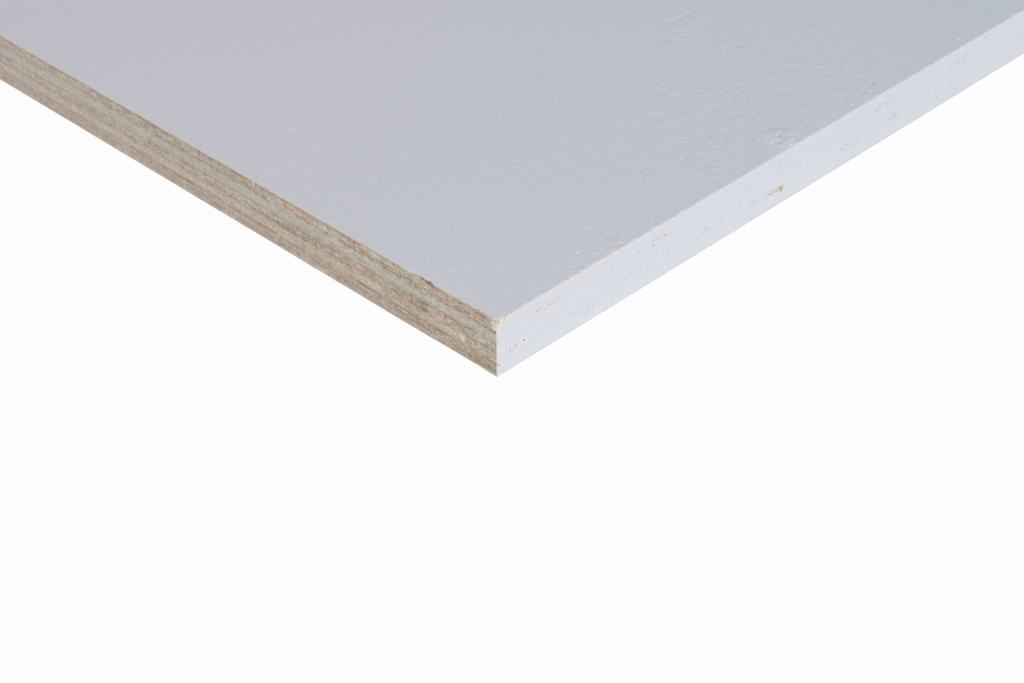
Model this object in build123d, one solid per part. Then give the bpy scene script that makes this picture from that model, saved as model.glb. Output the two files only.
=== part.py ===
from build123d import *
import os

# A sheet of plywood with painted faces and long edges, lying flat. Millimetres.
# +X runs along the sheet, +Y across it and +Z up from its underside.
# The origin is on the underside, at the middle of the sheet.

# Driving dimensions
sheet_length = 2440.0
sheet_width = 1220.0

# Veneers from the face down, each with its grain at right angles to the next
face_veneer_thickness = 3.2
upper_crossband_thickness = 2.4
core_veneer_thickness = 2.85
lower_crossband_thickness = 2.2
back_veneer_thickness = 3.55

# The paint lies on both faces and wraps the long edges. The short ends are bare.
paint_thickness = 0.4
sanded_arris_radius = 0.15

# Derived sizes
veneers_from_the_back = {
    "back_veneer": back_veneer_thickness,
    "lower_crossband": lower_crossband_thickness,
    "core_veneer": core_veneer_thickness,
    "upper_crossband": upper_crossband_thickness,
    "face_veneer": face_veneer_thickness,
}
board_thickness = sum(veneers_from_the_back.values())
sheet_thickness = board_thickness + 2 * paint_thickness
painted_arris_radius = sanded_arris_radius + paint_thickness


def rounded_bar(inset):
    """Section across the sheet, with all four arrises rounded about the same centres."""
    width = sheet_width - 2 * inset
    height = sheet_thickness - 2 * inset
    bar = Rectangle(width, height)
    rounded = fillet(bar.vertices(), painted_arris_radius - inset)
    return Pos(0, sheet_thickness / 2) * rounded


def level_band(bottom, top):
    """Band between two levels, wider than the sheet, that cuts one layer from a section."""
    return Pos(0, (bottom + top) / 2) * Rectangle(2 * sheet_width, top - bottom)


def run_along_sheet(section):
    """Solid of the full sheet length from a section drawn across the sheet."""
    return extrude(Plane.YZ * section, amount=sheet_length / 2, both=True)


def veneers():
    """The glued veneers, stacked from the back. The outer two carry the sanded arrises."""
    board = rounded_bar(paint_thickness)
    layers = {}
    bottom = paint_thickness
    for name, thickness in veneers_from_the_back.items():
        layers[name] = run_along_sheet(board & level_band(bottom, bottom + thickness))
        bottom += thickness
    return layers


def paint_coat():
    """The paint as it is laid on: two faces that curl over the arrises, and two edge strips."""
    coat = rounded_bar(0) - rounded_bar(paint_thickness)
    upper_level = sheet_thickness - painted_arris_radius
    face = coat & level_band(upper_level, sheet_thickness)
    back = coat & level_band(0, painted_arris_radius)
    edges = coat & level_band(painted_arris_radius, upper_level)
    front_edge, rear_edge = edges.faces().sort_by(Axis.X)
    return {
        "face_paint": run_along_sheet(face),
        "back_paint": run_along_sheet(back),
        "front_edge_paint": run_along_sheet(front_edge),
        "rear_edge_paint": run_along_sheet(rear_edge),
    }


os.makedirs("parts", exist_ok=True)
for name, piece in {**veneers(), **paint_coat()}.items():
    export_step(piece, f"parts/{name}.step")
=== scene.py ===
"""A sheet of painted plywood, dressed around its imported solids.

Lengths are in millimetres in the sheet's own frame until a mesh is written, and in metres in Blender.
The near corner is the one at the sheet's low X and low Y: the sawn end runs from it along +Y,
and the painted long edge runs from it along +X.
"""
import logging
import math
import random
from collections.abc import Callable
from dataclasses import dataclass, replace
from enum import Enum

import bmesh
import bpy
import numpy as np
from mathutils import Matrix, Vector, noise
from mathutils.geometry import delaunay_2d_cdt


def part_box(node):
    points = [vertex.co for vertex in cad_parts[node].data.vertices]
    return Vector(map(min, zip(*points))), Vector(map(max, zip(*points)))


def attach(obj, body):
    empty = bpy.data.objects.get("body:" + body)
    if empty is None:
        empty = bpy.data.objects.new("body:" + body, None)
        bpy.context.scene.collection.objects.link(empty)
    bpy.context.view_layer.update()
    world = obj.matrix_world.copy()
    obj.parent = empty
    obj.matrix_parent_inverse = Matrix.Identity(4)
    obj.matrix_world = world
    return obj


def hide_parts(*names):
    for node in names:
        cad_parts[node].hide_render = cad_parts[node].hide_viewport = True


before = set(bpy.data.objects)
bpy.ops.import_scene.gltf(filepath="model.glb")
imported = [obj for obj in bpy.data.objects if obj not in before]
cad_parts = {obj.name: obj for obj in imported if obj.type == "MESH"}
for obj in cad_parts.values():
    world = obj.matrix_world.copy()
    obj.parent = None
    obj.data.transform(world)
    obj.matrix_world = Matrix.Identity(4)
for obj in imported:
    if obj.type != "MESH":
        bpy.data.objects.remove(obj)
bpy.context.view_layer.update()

LOG = logging.getLogger("plywood_sheet")
MM = 0.001
CENTIMETRES_IN_METRE = 100
PAINT_IOR = 1.42
WOOD_IOR = 1.35
# How close to a long edge a point counts as on it, in millimetres
SKIN = 0.3
BODY = "root"

Pair = tuple[float, float]
Triple = tuple[float, float, float]
Colour = tuple[float, float, float, float]
Link = bpy.types.NodeSocket


def srgb(red: float, green: float, blue: float) -> Colour:
    """Linear colour, with alpha, from the 0 to 255 values that a picture editor shows.

    Args:
        red: Red, 0 to 255.
        green: Green, 0 to 255.
        blue: Blue, 0 to 255.

    Returns:
        Linear red, green and blue, and an alpha of 1.
    """
    def channel(value: float) -> float:
        """One channel from display to linear."""
        share = value / 255
        return share / 12.92 if share <= 0.04045 else ((share + 0.055) / 1.055) ** 2.4
    return channel(red), channel(green), channel(blue), 1.0


class Builder:
    """Adds nodes to a shader or geometry tree, with their settings first and their sockets after."""

    def __init__(self, tree: bpy.types.NodeTree) -> None:
        """Works on the given tree."""
        self.tree = tree

    def node(self, kind: str, settings: dict | None = None, sockets: dict | None = None) -> bpy.types.Node:
        """Adds one node.

        Args:
            kind: The node's Blender type, such as ShaderNodeTexNoise.
            settings: The node's own properties, set before its sockets.
            sockets: A value or link for each input, by name or by index.

        Returns:
            The new node.
        """
        made = self.tree.nodes.new(kind)
        for name, value in (settings or {}).items():
            setattr(made, name, value)
        for key, value in (sockets or {}).items():
            self.feed(self.entry(made, key), value)
        return made

    @staticmethod
    def entry(node: bpy.types.Node, key: str | int) -> Link:
        """The node's enabled input of that name, or its input at that index."""
        if isinstance(key, int):
            return node.inputs[key]
        return next(s for s in node.inputs if s.name == key and s.enabled)

    def feed(self, socket: Link, value: object) -> None:
        """Links a socket or Number to an input, or sets the input's own value."""
        if isinstance(value, Number):
            value = value.socket
        if isinstance(value, Link):
            self.tree.links.new(value, socket)
        elif isinstance(value, tuple):
            socket.default_value = value[:len(socket.default_value)]
        else:
            socket.default_value = value

    def number(self, node: bpy.types.Node, output: str | int = 0) -> "Number":
        """One of a node's outputs as a Number."""
        return Number(self, node.outputs[output])


class Number:
    """A socket that carries one number, with Python arithmetic that adds Math nodes."""

    def __init__(self, builder: Builder, socket: Link) -> None:
        """Wraps a socket of the builder's tree."""
        self.builder = builder
        self.socket = socket

    def math(self, operation: str, *values: object, clamp: bool = False) -> "Number":
        """Adds a Math node with this number and the others as its inputs.

        Args:
            operation: The Math node's operation.
            values: The inputs in order, Numbers or floats.
            clamp: Whether the result is held between 0 and 1.

        Returns:
            The node's result.
        """
        sockets = dict(enumerate(values))
        return self.builder.number(
            self.builder.node("ShaderNodeMath", {"operation": operation, "use_clamp": clamp}, sockets)
        )

    def __add__(self, other: object) -> "Number":
        """Sum."""
        return self.math("ADD", self, other)

    def __radd__(self, other: object) -> "Number":
        """Sum, with the number on the right."""
        return self.math("ADD", other, self)

    def __sub__(self, other: object) -> "Number":
        """Difference."""
        return self.math("SUBTRACT", self, other)

    def __rsub__(self, other: object) -> "Number":
        """Difference, with the number on the right."""
        return self.math("SUBTRACT", other, self)

    def __mul__(self, other: object) -> "Number":
        """Product."""
        return self.math("MULTIPLY", self, other)

    def __rmul__(self, other: object) -> "Number":
        """Product, with the number on the right."""
        return self.math("MULTIPLY", other, self)

    def __truediv__(self, other: object) -> "Number":
        """Quotient."""
        return self.math("DIVIDE", self, other)

    def __abs__(self) -> "Number":
        """Size without sign."""
        return self.math("ABSOLUTE", self)

    def maximum(self, other: object) -> "Number":
        """The larger of the two."""
        return self.math("MAXIMUM", self, other)

    def minimum(self, other: object) -> "Number":
        """The smaller of the two."""
        return self.math("MINIMUM", self, other)

    def between(self, low: float, high: float) -> "Number":
        """A smooth step.

        Args:
            low: Where it is 0. This may be the larger of the two.
            high: Where it is 1.

        Returns:
            The step, held between 0 and 1.
        """
        ramp = self.builder.node(
            "ShaderNodeMapRange",
            {"interpolation_type": "SMOOTHSTEP"},
            {"Value": self, "From Min": low, "From Max": high},
        )
        return self.builder.number(ramp)


class Shader(Builder):
    """The node tree of one material, with the patterns that the finishes share."""

    def __init__(self, name: str) -> None:
        """Makes an empty material.

        Args:
            name: The material's name.
        """
        self.material = bpy.data.materials.new(name)
        self.material.use_nodes = True
        super().__init__(self.material.node_tree)
        self.tree.nodes.clear()
        self.place = self.node("ShaderNodeTexCoord").outputs["Object"]
        self.parts = self.node("ShaderNodeSeparateXYZ", None, {0: self.place})

    def axis(self, name: str) -> Number:
        """Position along X, Y or Z, in metres."""
        return self.number(self.parts, name)

    def attribute(self, name: str) -> Number:
        """A number painted on the mesh."""
        return self.number(self.node("ShaderNodeAttribute", {"attribute_name": name}), "Fac")

    def stretched(self, x: float, y: float, z: float, shift: float = 0.0) -> Link:
        """Position scaled so that one unit is a grain of the given size.

        Args:
            x: Size of a grain along X, in millimetres.
            y: Size of a grain along Y, in millimetres.
            z: Size of a grain along Z, in millimetres.
            shift: Distance that sets one pattern apart from the next.

        Returns:
            The scaled position.
        """
        scale = (1 / (x * MM), 1 / (y * MM), 1 / (z * MM))
        return self.node(
            "ShaderNodeMapping",
            {"vector_type": "POINT"},
            {"Vector": self.place, "Location": (shift, shift * 0.7, shift * 1.3), "Scale": scale},
        ).outputs[0]

    def soft(self, place: Link, detail: float, rough: float, warp: float = 0.0) -> Number:
        """Soft noise over a place that one grain spans in one unit.

        Args:
            place: The scaled position.
            detail: How finely the noise is broken up.
            rough: How strong the fine part is.
            warp: How far the noise is bent.

        Returns:
            The noise, centred on 0.5.
        """
        sockets = {"Vector": place, "Scale": 1.0, "Detail": detail, "Roughness": rough, "Distortion": warp}
        return self.number(self.node("ShaderNodeTexNoise", {"noise_dimensions": "3D"}, sockets), "Fac")

    def cloud(self, sizes: Triple, shift: float = 0.0, detail: float = 2.0, rough: float = 0.5,
              warp: float = 0.0) -> Number:
        """Soft noise with grains of the given sizes.

        Args:
            sizes: Size of a grain along each axis, in millimetres.
            shift: Distance that sets one pattern apart from the next.
            detail: How finely the noise is broken up.
            rough: How strong the fine part is.
            warp: How far the noise is bent.

        Returns:
            The noise, centred on 0.5.
        """
        return self.soft(self.stretched(*sizes, shift), detail, rough, warp)

    def dashes(self, length: float, width: float, angle: float, shift: float) -> Number:
        """Soft noise stretched into dashes on the level faces.

        Args:
            length: Length of a dash in millimetres.
            width: Its width in millimetres.
            angle: Its direction in degrees from +X.
            shift: Distance that sets one pattern apart from the next.

        Returns:
            The noise, centred on 0.5.
        """
        cos, sin = math.cos(math.radians(angle)), math.sin(math.radians(angle))
        x, y = self.axis("X"), self.axis("Y")
        place = self.node("ShaderNodeCombineXYZ", None, {0: (cos * x + sin * y) / (length * MM),
                                                         1: (cos * y - sin * x) / (width * MM), 2: shift})
        return self.soft(place.outputs[0], 2.0, 0.5)

    def cells(self, sizes: Triple, shift: float = 0.0) -> Number:
        """Distance from the nearest of many scattered dots.

        Args:
            sizes: The dots' spacing along each axis, in millimetres.
            shift: Distance that sets one pattern apart from the next.

        Returns:
            The distance in units of that spacing.
        """
        place = self.stretched(*sizes, shift)
        made = self.node("ShaderNodeTexVoronoi", {"feature": "F1"}, {"Vector": place, "Scale": 1.0})
        return self.number(made, "Distance")

    def swell(self, axis: str, start: float, pitch: float) -> Number:
        """A slow wave along an axis.

        Args:
            axis: The axis.
            start: Where the wave is 0, in millimetres.
            pitch: Its length in millimetres.

        Returns:
            The wave, which is 1 half a pitch further on.
        """
        turn = (self.axis(axis) - start * MM) * (2 * math.pi / (pitch * MM))
        return 0.5 - 0.5 * turn.math("COSINE", turn)

    def oval(self, **places: Pair) -> Number:
        """A soft mask, 1 at its middle and 0 at its rim.

        Args:
            places: The middle and the reach along each axis, in millimetres.

        Returns:
            The mask.
        """
        far = None
        for axis, (middle, reach) in places.items():
            step = (self.axis(axis) - middle * MM) / (reach * MM)
            far = step * step if far is None else far + step * step
        return far.between(1.0, 0.15)

    def blend(self, factor: object, first: object, second: object) -> Link:
        """Mixes two colours.

        Args:
            factor: The share of the second, a Number or a float.
            first: A colour or a socket.
            second: A colour or a socket.

        Returns:
            The mixed colour.
        """
        made = self.node("ShaderNodeMix", {"data_type": "RGBA", "clamp_factor": True},
                         {"Factor": factor, "A": first, "B": second})
        return next(s for s in made.outputs if s.enabled)

    def shade(self, colour: object, factor: object) -> Link:
        """Colour times a number."""
        made = self.node("ShaderNodeVectorMath", {"operation": "SCALE"}, {"Vector": colour, "Scale": factor})
        return made.outputs["Vector"]

    def bump(self, height: object, distance: float) -> Link:
        """Normal from a height, where a height of 1 stands for the distance in millimetres."""
        return self.node("ShaderNodeBump", None, {"Height": height, "Distance": distance * MM}).outputs[0]

    def surface(self, colour: object, roughness: object, normal: object,
                **fixed: float) -> bpy.types.Material:
        """Ends the tree in a Principled shader.

        Args:
            colour: Base colour, a socket or a colour.
            roughness: Roughness, a Number or a float.
            normal: The bumped normal.
            fixed: Values for other sockets, with underscores for spaces.

        Returns:
            The finished material.
        """
        sockets = {"Base Color": colour, "Roughness": roughness, "Normal": normal}
        sockets.update({name.replace("_", " "): value for name, value in fixed.items()})
        shader = self.node("ShaderNodeBsdfPrincipled", None, sockets)
        self.node("ShaderNodeOutputMaterial", None, {"Surface": shader.outputs[0]})
        return self.material


@dataclass(frozen=True)
class Sheet:
    """Sizes of the sheet in millimetres, read from the frame."""

    length: float
    width: float
    thickness: float
    film: float
    arris: float
    levels: dict[str, Pair]

    @classmethod
    def from_frame(cls) -> "Sheet":
        """Reads the sheet's sizes from the boxes of its solids.

        Returns:
            The sheet.
        """
        low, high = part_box("face_paint")
        edge_low, edge_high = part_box("front_edge_paint")
        veneers = ("face_veneer", "upper_crossband", "core_veneer", "lower_crossband", "back_veneer")
        levels = {}
        for name in veneers:
            bottom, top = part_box(name)
            levels[name] = (bottom.z / MM, top.z / MM)
        return cls(
            length=(high.x - low.x) / MM,
            width=(high.y - low.y) / MM,
            thickness=high.z / MM,
            film=(edge_high.y - edge_low.y) / MM,
            arris=edge_low.z / MM,
            levels=levels,
        )

    @property
    def near(self) -> Pair:
        """X and Y of the near corner."""
        return -self.length / 2, -self.width / 2


# How much each step along a line, past its fine stretch, outgrows the last
STEP_GROWTH = 0.08
# How often a coarse cell can be halved, how far over the wanted size it may stay,
# and how near to the patch's rim its corners may come, as a share of its size
HALVINGS = 12
CELL_SLACK = 1.42
RIM_GAP = 0.45
# Points closer than this are one, and triangles with less area than this are left out
WELD = 1e-7
FLAT_TURN = 1e-9


@dataclass(frozen=True)
class FineZone:
    """A rectangle of a surface that needs a fine mesh, which then grows coarser away from it."""

    low: Pair
    high: Pair
    step: float
    growth: float = 0.35

    def wanted(self, low: Pair, high: Pair) -> float:
        """The mesh size that this zone asks of a cell.

        Args:
            low: The cell's lowest corner.
            high: Its highest corner.

        Returns:
            The size, which grows with the gap between the cell and the zone.
        """
        gaps = [max(self.low[k] - high[k], low[k] - self.high[k], 0.0) for k in (0, 1)]
        return self.step + self.growth * math.hypot(*gaps)


def graded_line(length: float, fine: float, fine_step: float, coarse_step: float) -> list[float]:
    """Places along a line that are close together at its start and further apart past the fine stretch.

    Args:
        length: Length of the line.
        fine: Length of the fine stretch at its start.
        fine_step: Step on the fine stretch.
        coarse_step: Largest step.

    Returns:
        The places, from 0 to the length.
    """
    places = [0.0]
    step = fine_step
    while places[-1] < length:
        if places[-1] > fine:
            step = min(step * (1 + STEP_GROWTH), coarse_step)
        places.append(places[-1] + step)
    stretch = length / places[-1]
    return [place * stretch for place in places[:-1]] + [length]


@dataclass
class Patch:
    """A rectangle cut into triangles, fine where its rims and zones ask for it."""

    points: list[Pair]
    triangles: list[tuple[int, int, int]]

    @classmethod
    def cut(cls, low: Pair, high: Pair, rims: dict[str, list[float]],
            zones: list[FineZone], cell: float) -> "Patch":
        """Cuts a rectangle.

        Args:
            low: Its lowest corner.
            high: Its highest corner.
            rims: Places along its left, right, bottom and top rims.
            zones: Where the inside is fine.
            cell: Size of the coarsest cells.

        Returns:
            The patch.
        """
        points = [(low[0], low[1] + t) for t in rims["left"]]
        points += [(high[0], low[1] + t) for t in rims["right"]]
        points += [(low[0] + t, low[1]) for t in rims["bottom"][1:-1]]
        points += [(low[0] + t, high[1]) for t in rims["top"][1:-1]]
        points += cls.inside(low, high, zones, cell)
        corners = [Vector(point) for point in points]
        _, _, faces, origins, _, _ = delaunay_2d_cdt(corners, [], [], 0, WELD)
        triangles = []
        for face in faces:
            a, b, c = (origins[v][0] for v in face)
            (ax, ay), (bx, by), (cx, cy) = points[a], points[b], points[c]
            turn = (bx - ax) * (cy - ay) - (by - ay) * (cx - ax)
            if abs(turn) > FLAT_TURN:
                triangles.append((a, b, c) if turn > 0 else (a, c, b))
        return cls(points, triangles)

    @staticmethod
    def inside(low: Pair, high: Pair, zones: list[FineZone],
               cell: float) -> list[Pair]:
        """Corners of square cells that are halved until each is as fine as the zones ask.

        Args:
            low: The rectangle's lowest corner.
            high: Its highest corner.
            zones: Where the cells are fine.
            cell: Size of the coarsest cells.

        Returns:
            The corners that stand clear of the rectangle's rims.
        """
        size = [high[k] - low[k] for k in (0, 1)]
        count = [max(1, round(size[k] / cell)) for k in (0, 1)]
        unit = [size[k] / count[k] / 2 ** HALVINGS for k in (0, 1)]
        whole = 1 << HALVINGS
        waiting = [(i * whole, j * whole, whole) for i in range(count[0]) for j in range(count[1])]
        found = {}
        while waiting:
            i, j, span = waiting.pop()
            start = (low[0] + i * unit[0], low[1] + j * unit[1])
            stop = (start[0] + span * unit[0], start[1] + span * unit[1])
            reach = max(span * unit[0], span * unit[1])
            wanted = min(zone.wanted(start, stop) for zone in zones)
            if reach > wanted * CELL_SLACK and span > 1:
                half = span >> 1
                waiting += [(i + right, j + up, half) for up in (0, half) for right in (0, half)]
                continue
            for corner in ((i, j), (i + span, j), (i, j + span), (i + span, j + span)):
                found[corner] = min(found.get(corner, reach), reach)
        kept = []
        for (i, j), reach in found.items():
            x, y = low[0] + i * unit[0], low[1] + j * unit[1]
            margin = min(x - low[0], high[0] - x, y - low[1], high[1] - y)
            if margin > RIM_GAP * reach:
                kept.append((x, y))
        return kept


def bridge(first: list[tuple[float, int]], second: list[tuple[float, int]],
           turn: float) -> list[tuple[int, int, int]]:
    """Triangles between two closed loops.

    Args:
        first: Place round the loop and vertex, in rising order.
        second: The same for the other loop.
        turn: The place at which both loops close.

    Returns:
        The triangles.
    """
    one = first + [(first[0][0] + turn, first[0][1])]
    two = second + [(second[0][0] + turn, second[0][1])]
    i = j = 0
    faces = []
    while i < len(one) - 1 or j < len(two) - 1:
        step_one = j == len(two) - 1 or (i < len(one) - 1 and one[i + 1][0] <= two[j + 1][0])
        if step_one:
            faces.append((one[i][1], two[j][1], one[i + 1][1]))
            i += 1
        else:
            faces.append((one[i][1], two[j][1], two[j + 1][1]))
            j += 1
    return faces


def add_object(name: str, content: bpy.types.ID) -> bpy.types.Object:
    """Puts a mesh, lamp or lens in the scene.

    Args:
        name: The object's name.
        content: What it holds.

    Returns:
        The object.
    """
    made = bpy.data.objects.new(name, content)
    bpy.context.scene.collection.objects.link(made)
    return made


def make_object(name: str, points: np.ndarray, faces: list[tuple[int, ...]], sharp_angle: float = 35.0,
                marks: dict[str, np.ndarray] | None = None) -> bpy.types.Object:
    """Writes a closed mesh in metres, with its faces outwards.

    Args:
        name: The object's name.
        points: Vertices in millimetres.
        faces: Faces as vertex numbers.
        sharp_angle: Angle in degrees past which an edge stays sharp.
        marks: Numbers for each vertex, by attribute name.

    Returns:
        The object, linked to the scene.
    """
    mesh = bpy.data.meshes.new(name)
    mesh.from_pydata((points * MM).tolist(), [], faces)
    for attribute, values in (marks or {}).items():
        mesh.attributes.new(attribute, "FLOAT", "POINT").data.foreach_set("value", values.astype(np.float32))
    shell = bmesh.new()
    shell.from_mesh(mesh)
    bmesh.ops.recalc_face_normals(shell, faces=shell.faces)
    open_edges = sum(1 for edge in shell.edges if len(edge.link_faces) != 2)
    shell.to_mesh(mesh)
    shell.free()
    mesh.polygons.foreach_set("use_smooth", [True] * len(mesh.polygons))
    mesh.set_sharp_from_angle(angle=math.radians(sharp_angle))
    LOG.info("%s: %d faces, %d open edges", name, len(mesh.polygons), open_edges)
    return add_object(name, mesh)


def dress(piece: bpy.types.Object, material: bpy.types.Material,
          nodes: tuple[str, ...] = ()) -> None:
    """Gives a piece its material and its place on the sheet.

    Args:
        piece: The piece.
        material: Its material.
        nodes: The solids that it stands for.
    """
    piece.data.materials.clear()
    piece.data.materials.append(material)
    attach(piece, BODY)
    if nodes:
        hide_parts(*nodes)


@dataclass(frozen=True)
class Ripple:
    """Smooth lumps: how high they stand and how large they are, in millimetres."""

    height: float
    size: float

    def at(self, x: float, y: float, z: float) -> float:
        """The lumps at one place, within about their height above or below 0."""
        return self.height * noise.noise(Vector((x / self.size, y / self.size, z / self.size)))


@dataclass(frozen=True)
class Spot:
    """An oval near the corner, placed along an edge and across it or under the face, in millimetres.

    Its amount is a depth, a strength or a darkness, and a darkness below 0 is a light mark: a scuff, and on
    the film's lip a painted highlight. A dark mark is painted shade and can have a light rim, a painted
    highlight;
    the tilt is how far it drops for each millimetre along the edge.
    """

    along: float
    below: float
    reach_along: float
    reach_below: float
    amount: float
    light_rim: float = 0.0
    tilt: float = 0.0

    def far(self, along: np.ndarray, below: np.ndarray) -> np.ndarray:
        """Squared distance from its middle, 1 at its reach.

        Args:
            along: Places along the edge.
            below: Places across it or under the face.

        Returns:
            The squared distances.
        """
        one = along - self.along
        two = below - self.below - self.tilt * one
        return (one / self.reach_along) ** 2 + (two / self.reach_below) ** 2

    def scoop(self, along: float, below: float) -> float:
        """Depth of a chip of this size, steeper at its two ends than above and below.

        Args:
            along: A place along the edge.
            below: How far under the face it is.

        Returns:
            The depth there in millimetres.
        """
        across = (along - self.along) / self.reach_along
        down = (below - self.below) / self.reach_below
        return self.amount * math.exp(-across ** 4 - down ** 2)


def spots(*rows: tuple[float, ...]) -> tuple[Spot, ...]:
    """One spot for each row of its values."""
    return tuple(Spot(*row) for row in rows)


@dataclass
class SawnEnds:
    """The raw ends as the saw left them: how far each place lies inside the full length of the sheet.

    The near end has the saw's comb of teeth by the corner, chips, and a worn rim under the face. The film's
    rim is broken back past the wood, in flakes, and in bites that each have a place, a reach and a depth.
    """

    sheet: Sheet
    margin: float = 0.12
    shallowest: float = 0.02
    side_apart: float = 3000.0
    wave: Ripple = Ripple(0.05, 22.0)
    coarse: Ripple = Ripple(0.055, 1.3)
    fine: Ripple = Ripple(0.045, 0.55)
    comb_reach: float = 7.0
    comb_middle: float = 7.5
    comb_half: float = 3.6
    comb_pitch: float = 0.85
    comb_depth: float = 0.07
    comb_sway: Ripple = Ripple(1.5, 3.0)
    chip_play: Ripple = Ripple(0.4, 0.8)
    worn_reach: float = 24.0
    worn_below: float = 0.6
    worn_depth: float = 0.10
    worn_play: Ripple = Ripple(0.22, 1.2)
    film_step: float = 0.02
    film_wear: float = 0.10
    wear_end: float = 22.0
    wear_fade: float = 4.0
    film_play: Ripple = Ripple(1.0, 0.8)
    flakes: Ripple = Ripple(1.0, 2.3)
    flake_start: float = 0.3
    flake_depth: float = 0.16
    chips: tuple[Spot, ...] = spots(
        (23.6, 0.5, 1.0, 0.7, 0.6), (21.6, 0.9, 1.4, 0.4, 0.3), (0.4, 0.3, 1.0, 1.2, 0.3),
        (77.0, 0.3, 1.0, 0.8, 0.25), (8.6, 9.8, 1.9, 1.1, 0.5), (11.8, 8.1, 1.4, 0.55, 0.4),
        (16.0, 6.9, 2.2, 0.5, 0.3), (53.0, 3.0, 4.2, 0.7, 0.25),
    )
    bites: tuple[Triple, ...] = (
        (21.4, 1.1, 0.62), (25.4, 1.3, 0.30), (12.4, 0.6, 0.25), (9.3, 0.6, 0.25), (6.3, 0.5, 0.35),
        (5.0, 0.4, 0.30), (3.9, 0.4, 0.40), (2.7, 0.45, 0.35),
    )

    def placed(self, x: float, y: float) -> tuple[float, float]:
        """Which end a point is at, 0 for the near one, and its place along it, far apart for the two ends."""
        side = 1.0 if x > 0 else 0.0
        return side, y - self.sheet.near[1] + side * self.side_apart

    def recess(self, x: float, y: float, z: float) -> float:
        """How far inside the full length the sawn end lies.

        Args:
            x: Place along the sheet, which tells the two ends apart.
            y: Place across the sheet.
            z: Height over the underside.

        Returns:
            The depth in millimetres, never less than the shallowest.
        """
        side, along = self.placed(x, y)
        below = self.sheet.thickness - z
        rough = self.coarse.at(along, z * 2.0, 7.0) + self.fine.at(along, z * 1.3, 11.0)
        depth = self.margin + self.wave.at(along, z, side) + rough
        if side == 0.0:
            height = math.exp(-((below - self.comb_middle) / self.comb_half) ** 4)
            comb = math.exp(-(along / self.comb_reach) ** 2) * height
            tooth = 2 * math.pi * along / self.comb_pitch + self.comb_sway.at(along, z, 4.0)
            depth += self.comb_depth * comb * math.sin(tooth)
            broken = sum(chip.scoop(along, below) for chip in self.chips)
            depth += broken * (1 + self.chip_play.at(along, z, 5.0))
            under = math.exp(-((below - self.worn_below) / self.worn_below) ** 2)
            worn = max(0.0, 1.0 - along / self.worn_reach) * under
            depth += worn * (self.worn_depth + self.worn_play.at(along, z, 21.0))
        return max(depth, self.shallowest)

    def bitten(self, x: float, y: float, z: float) -> float:
        """How far the film is broken off the face at the near sawn end.

        Args:
            x: Place along the sheet.
            y: Place across the sheet.
            z: Height over the underside.

        Returns:
            The depth in millimetres, 0 at the far end and on the underside.
        """
        if x > 0 or z < self.sheet.thickness / 2:
            return 0.0
        along = y - self.sheet.near[1]
        return sum(depth * math.exp(-((along - place) / reach) ** 2) for place, reach, depth in self.bites)

    def film_break(self, x: float, y: float, z: float) -> float:
        """How far the film's outer rim is broken back past the wood behind it.

        Args:
            x: Place along the sheet.
            y: Place across the sheet.
            z: Height over the underside.

        Returns:
            The depth in millimetres.
        """
        side, along = self.placed(x, y)
        flaked = max(0.0, self.flakes.at(along, 2.0, 0.0) - self.flake_start)
        worn = 0.0
        if side == 0.0:
            worn = self.film_wear * min(1.0, max(0.0, (self.wear_end - along) / self.wear_fade))
        if abs(y) > -self.sheet.near[1] - SKIN:
            worn = self.film_wear
        least = self.film_step + worn
        broken = least + least * self.film_play.at(along, z, 9.0) + self.flake_depth * flaked
        return broken + self.bitten(x, y, z)


@dataclass(frozen=True)
class PitGroup:
    """A loose group of small pits, in millimetres from the near corner and under the face."""

    along: float
    below: float
    half_length: float
    half_height: float
    count: int
    depth: float
    radius: Pair = (0.17, 0.32)

    def scatter(self, pick: random.Random) -> list[Spot]:
        """Draws the group's pits.

        Args:
            pick: The seeded draw.

        Returns:
            The pits, with their depths.
        """
        found = []
        for _ in range(self.count):
            size = pick.uniform(*self.radius)
            found.append(Spot(self.along + pick.uniform(-1, 1) * self.half_length,
                              self.below + pick.uniform(-1, 1) * self.half_height,
                              size * pick.uniform(1.0, 1.6), size, self.depth * pick.uniform(0.6, 1.3)))
        return found


class RimSmear(Enum):
    """How much wood dust the saw smeared on the film's outer and inner rim, by the part of the section."""

    CORNER = (0.0, 0.35)
    UNDER = (0.85, 1.1)
    UPPER = (0.62, 1.1)
    SIDE = (0.1, 0.95)


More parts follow.
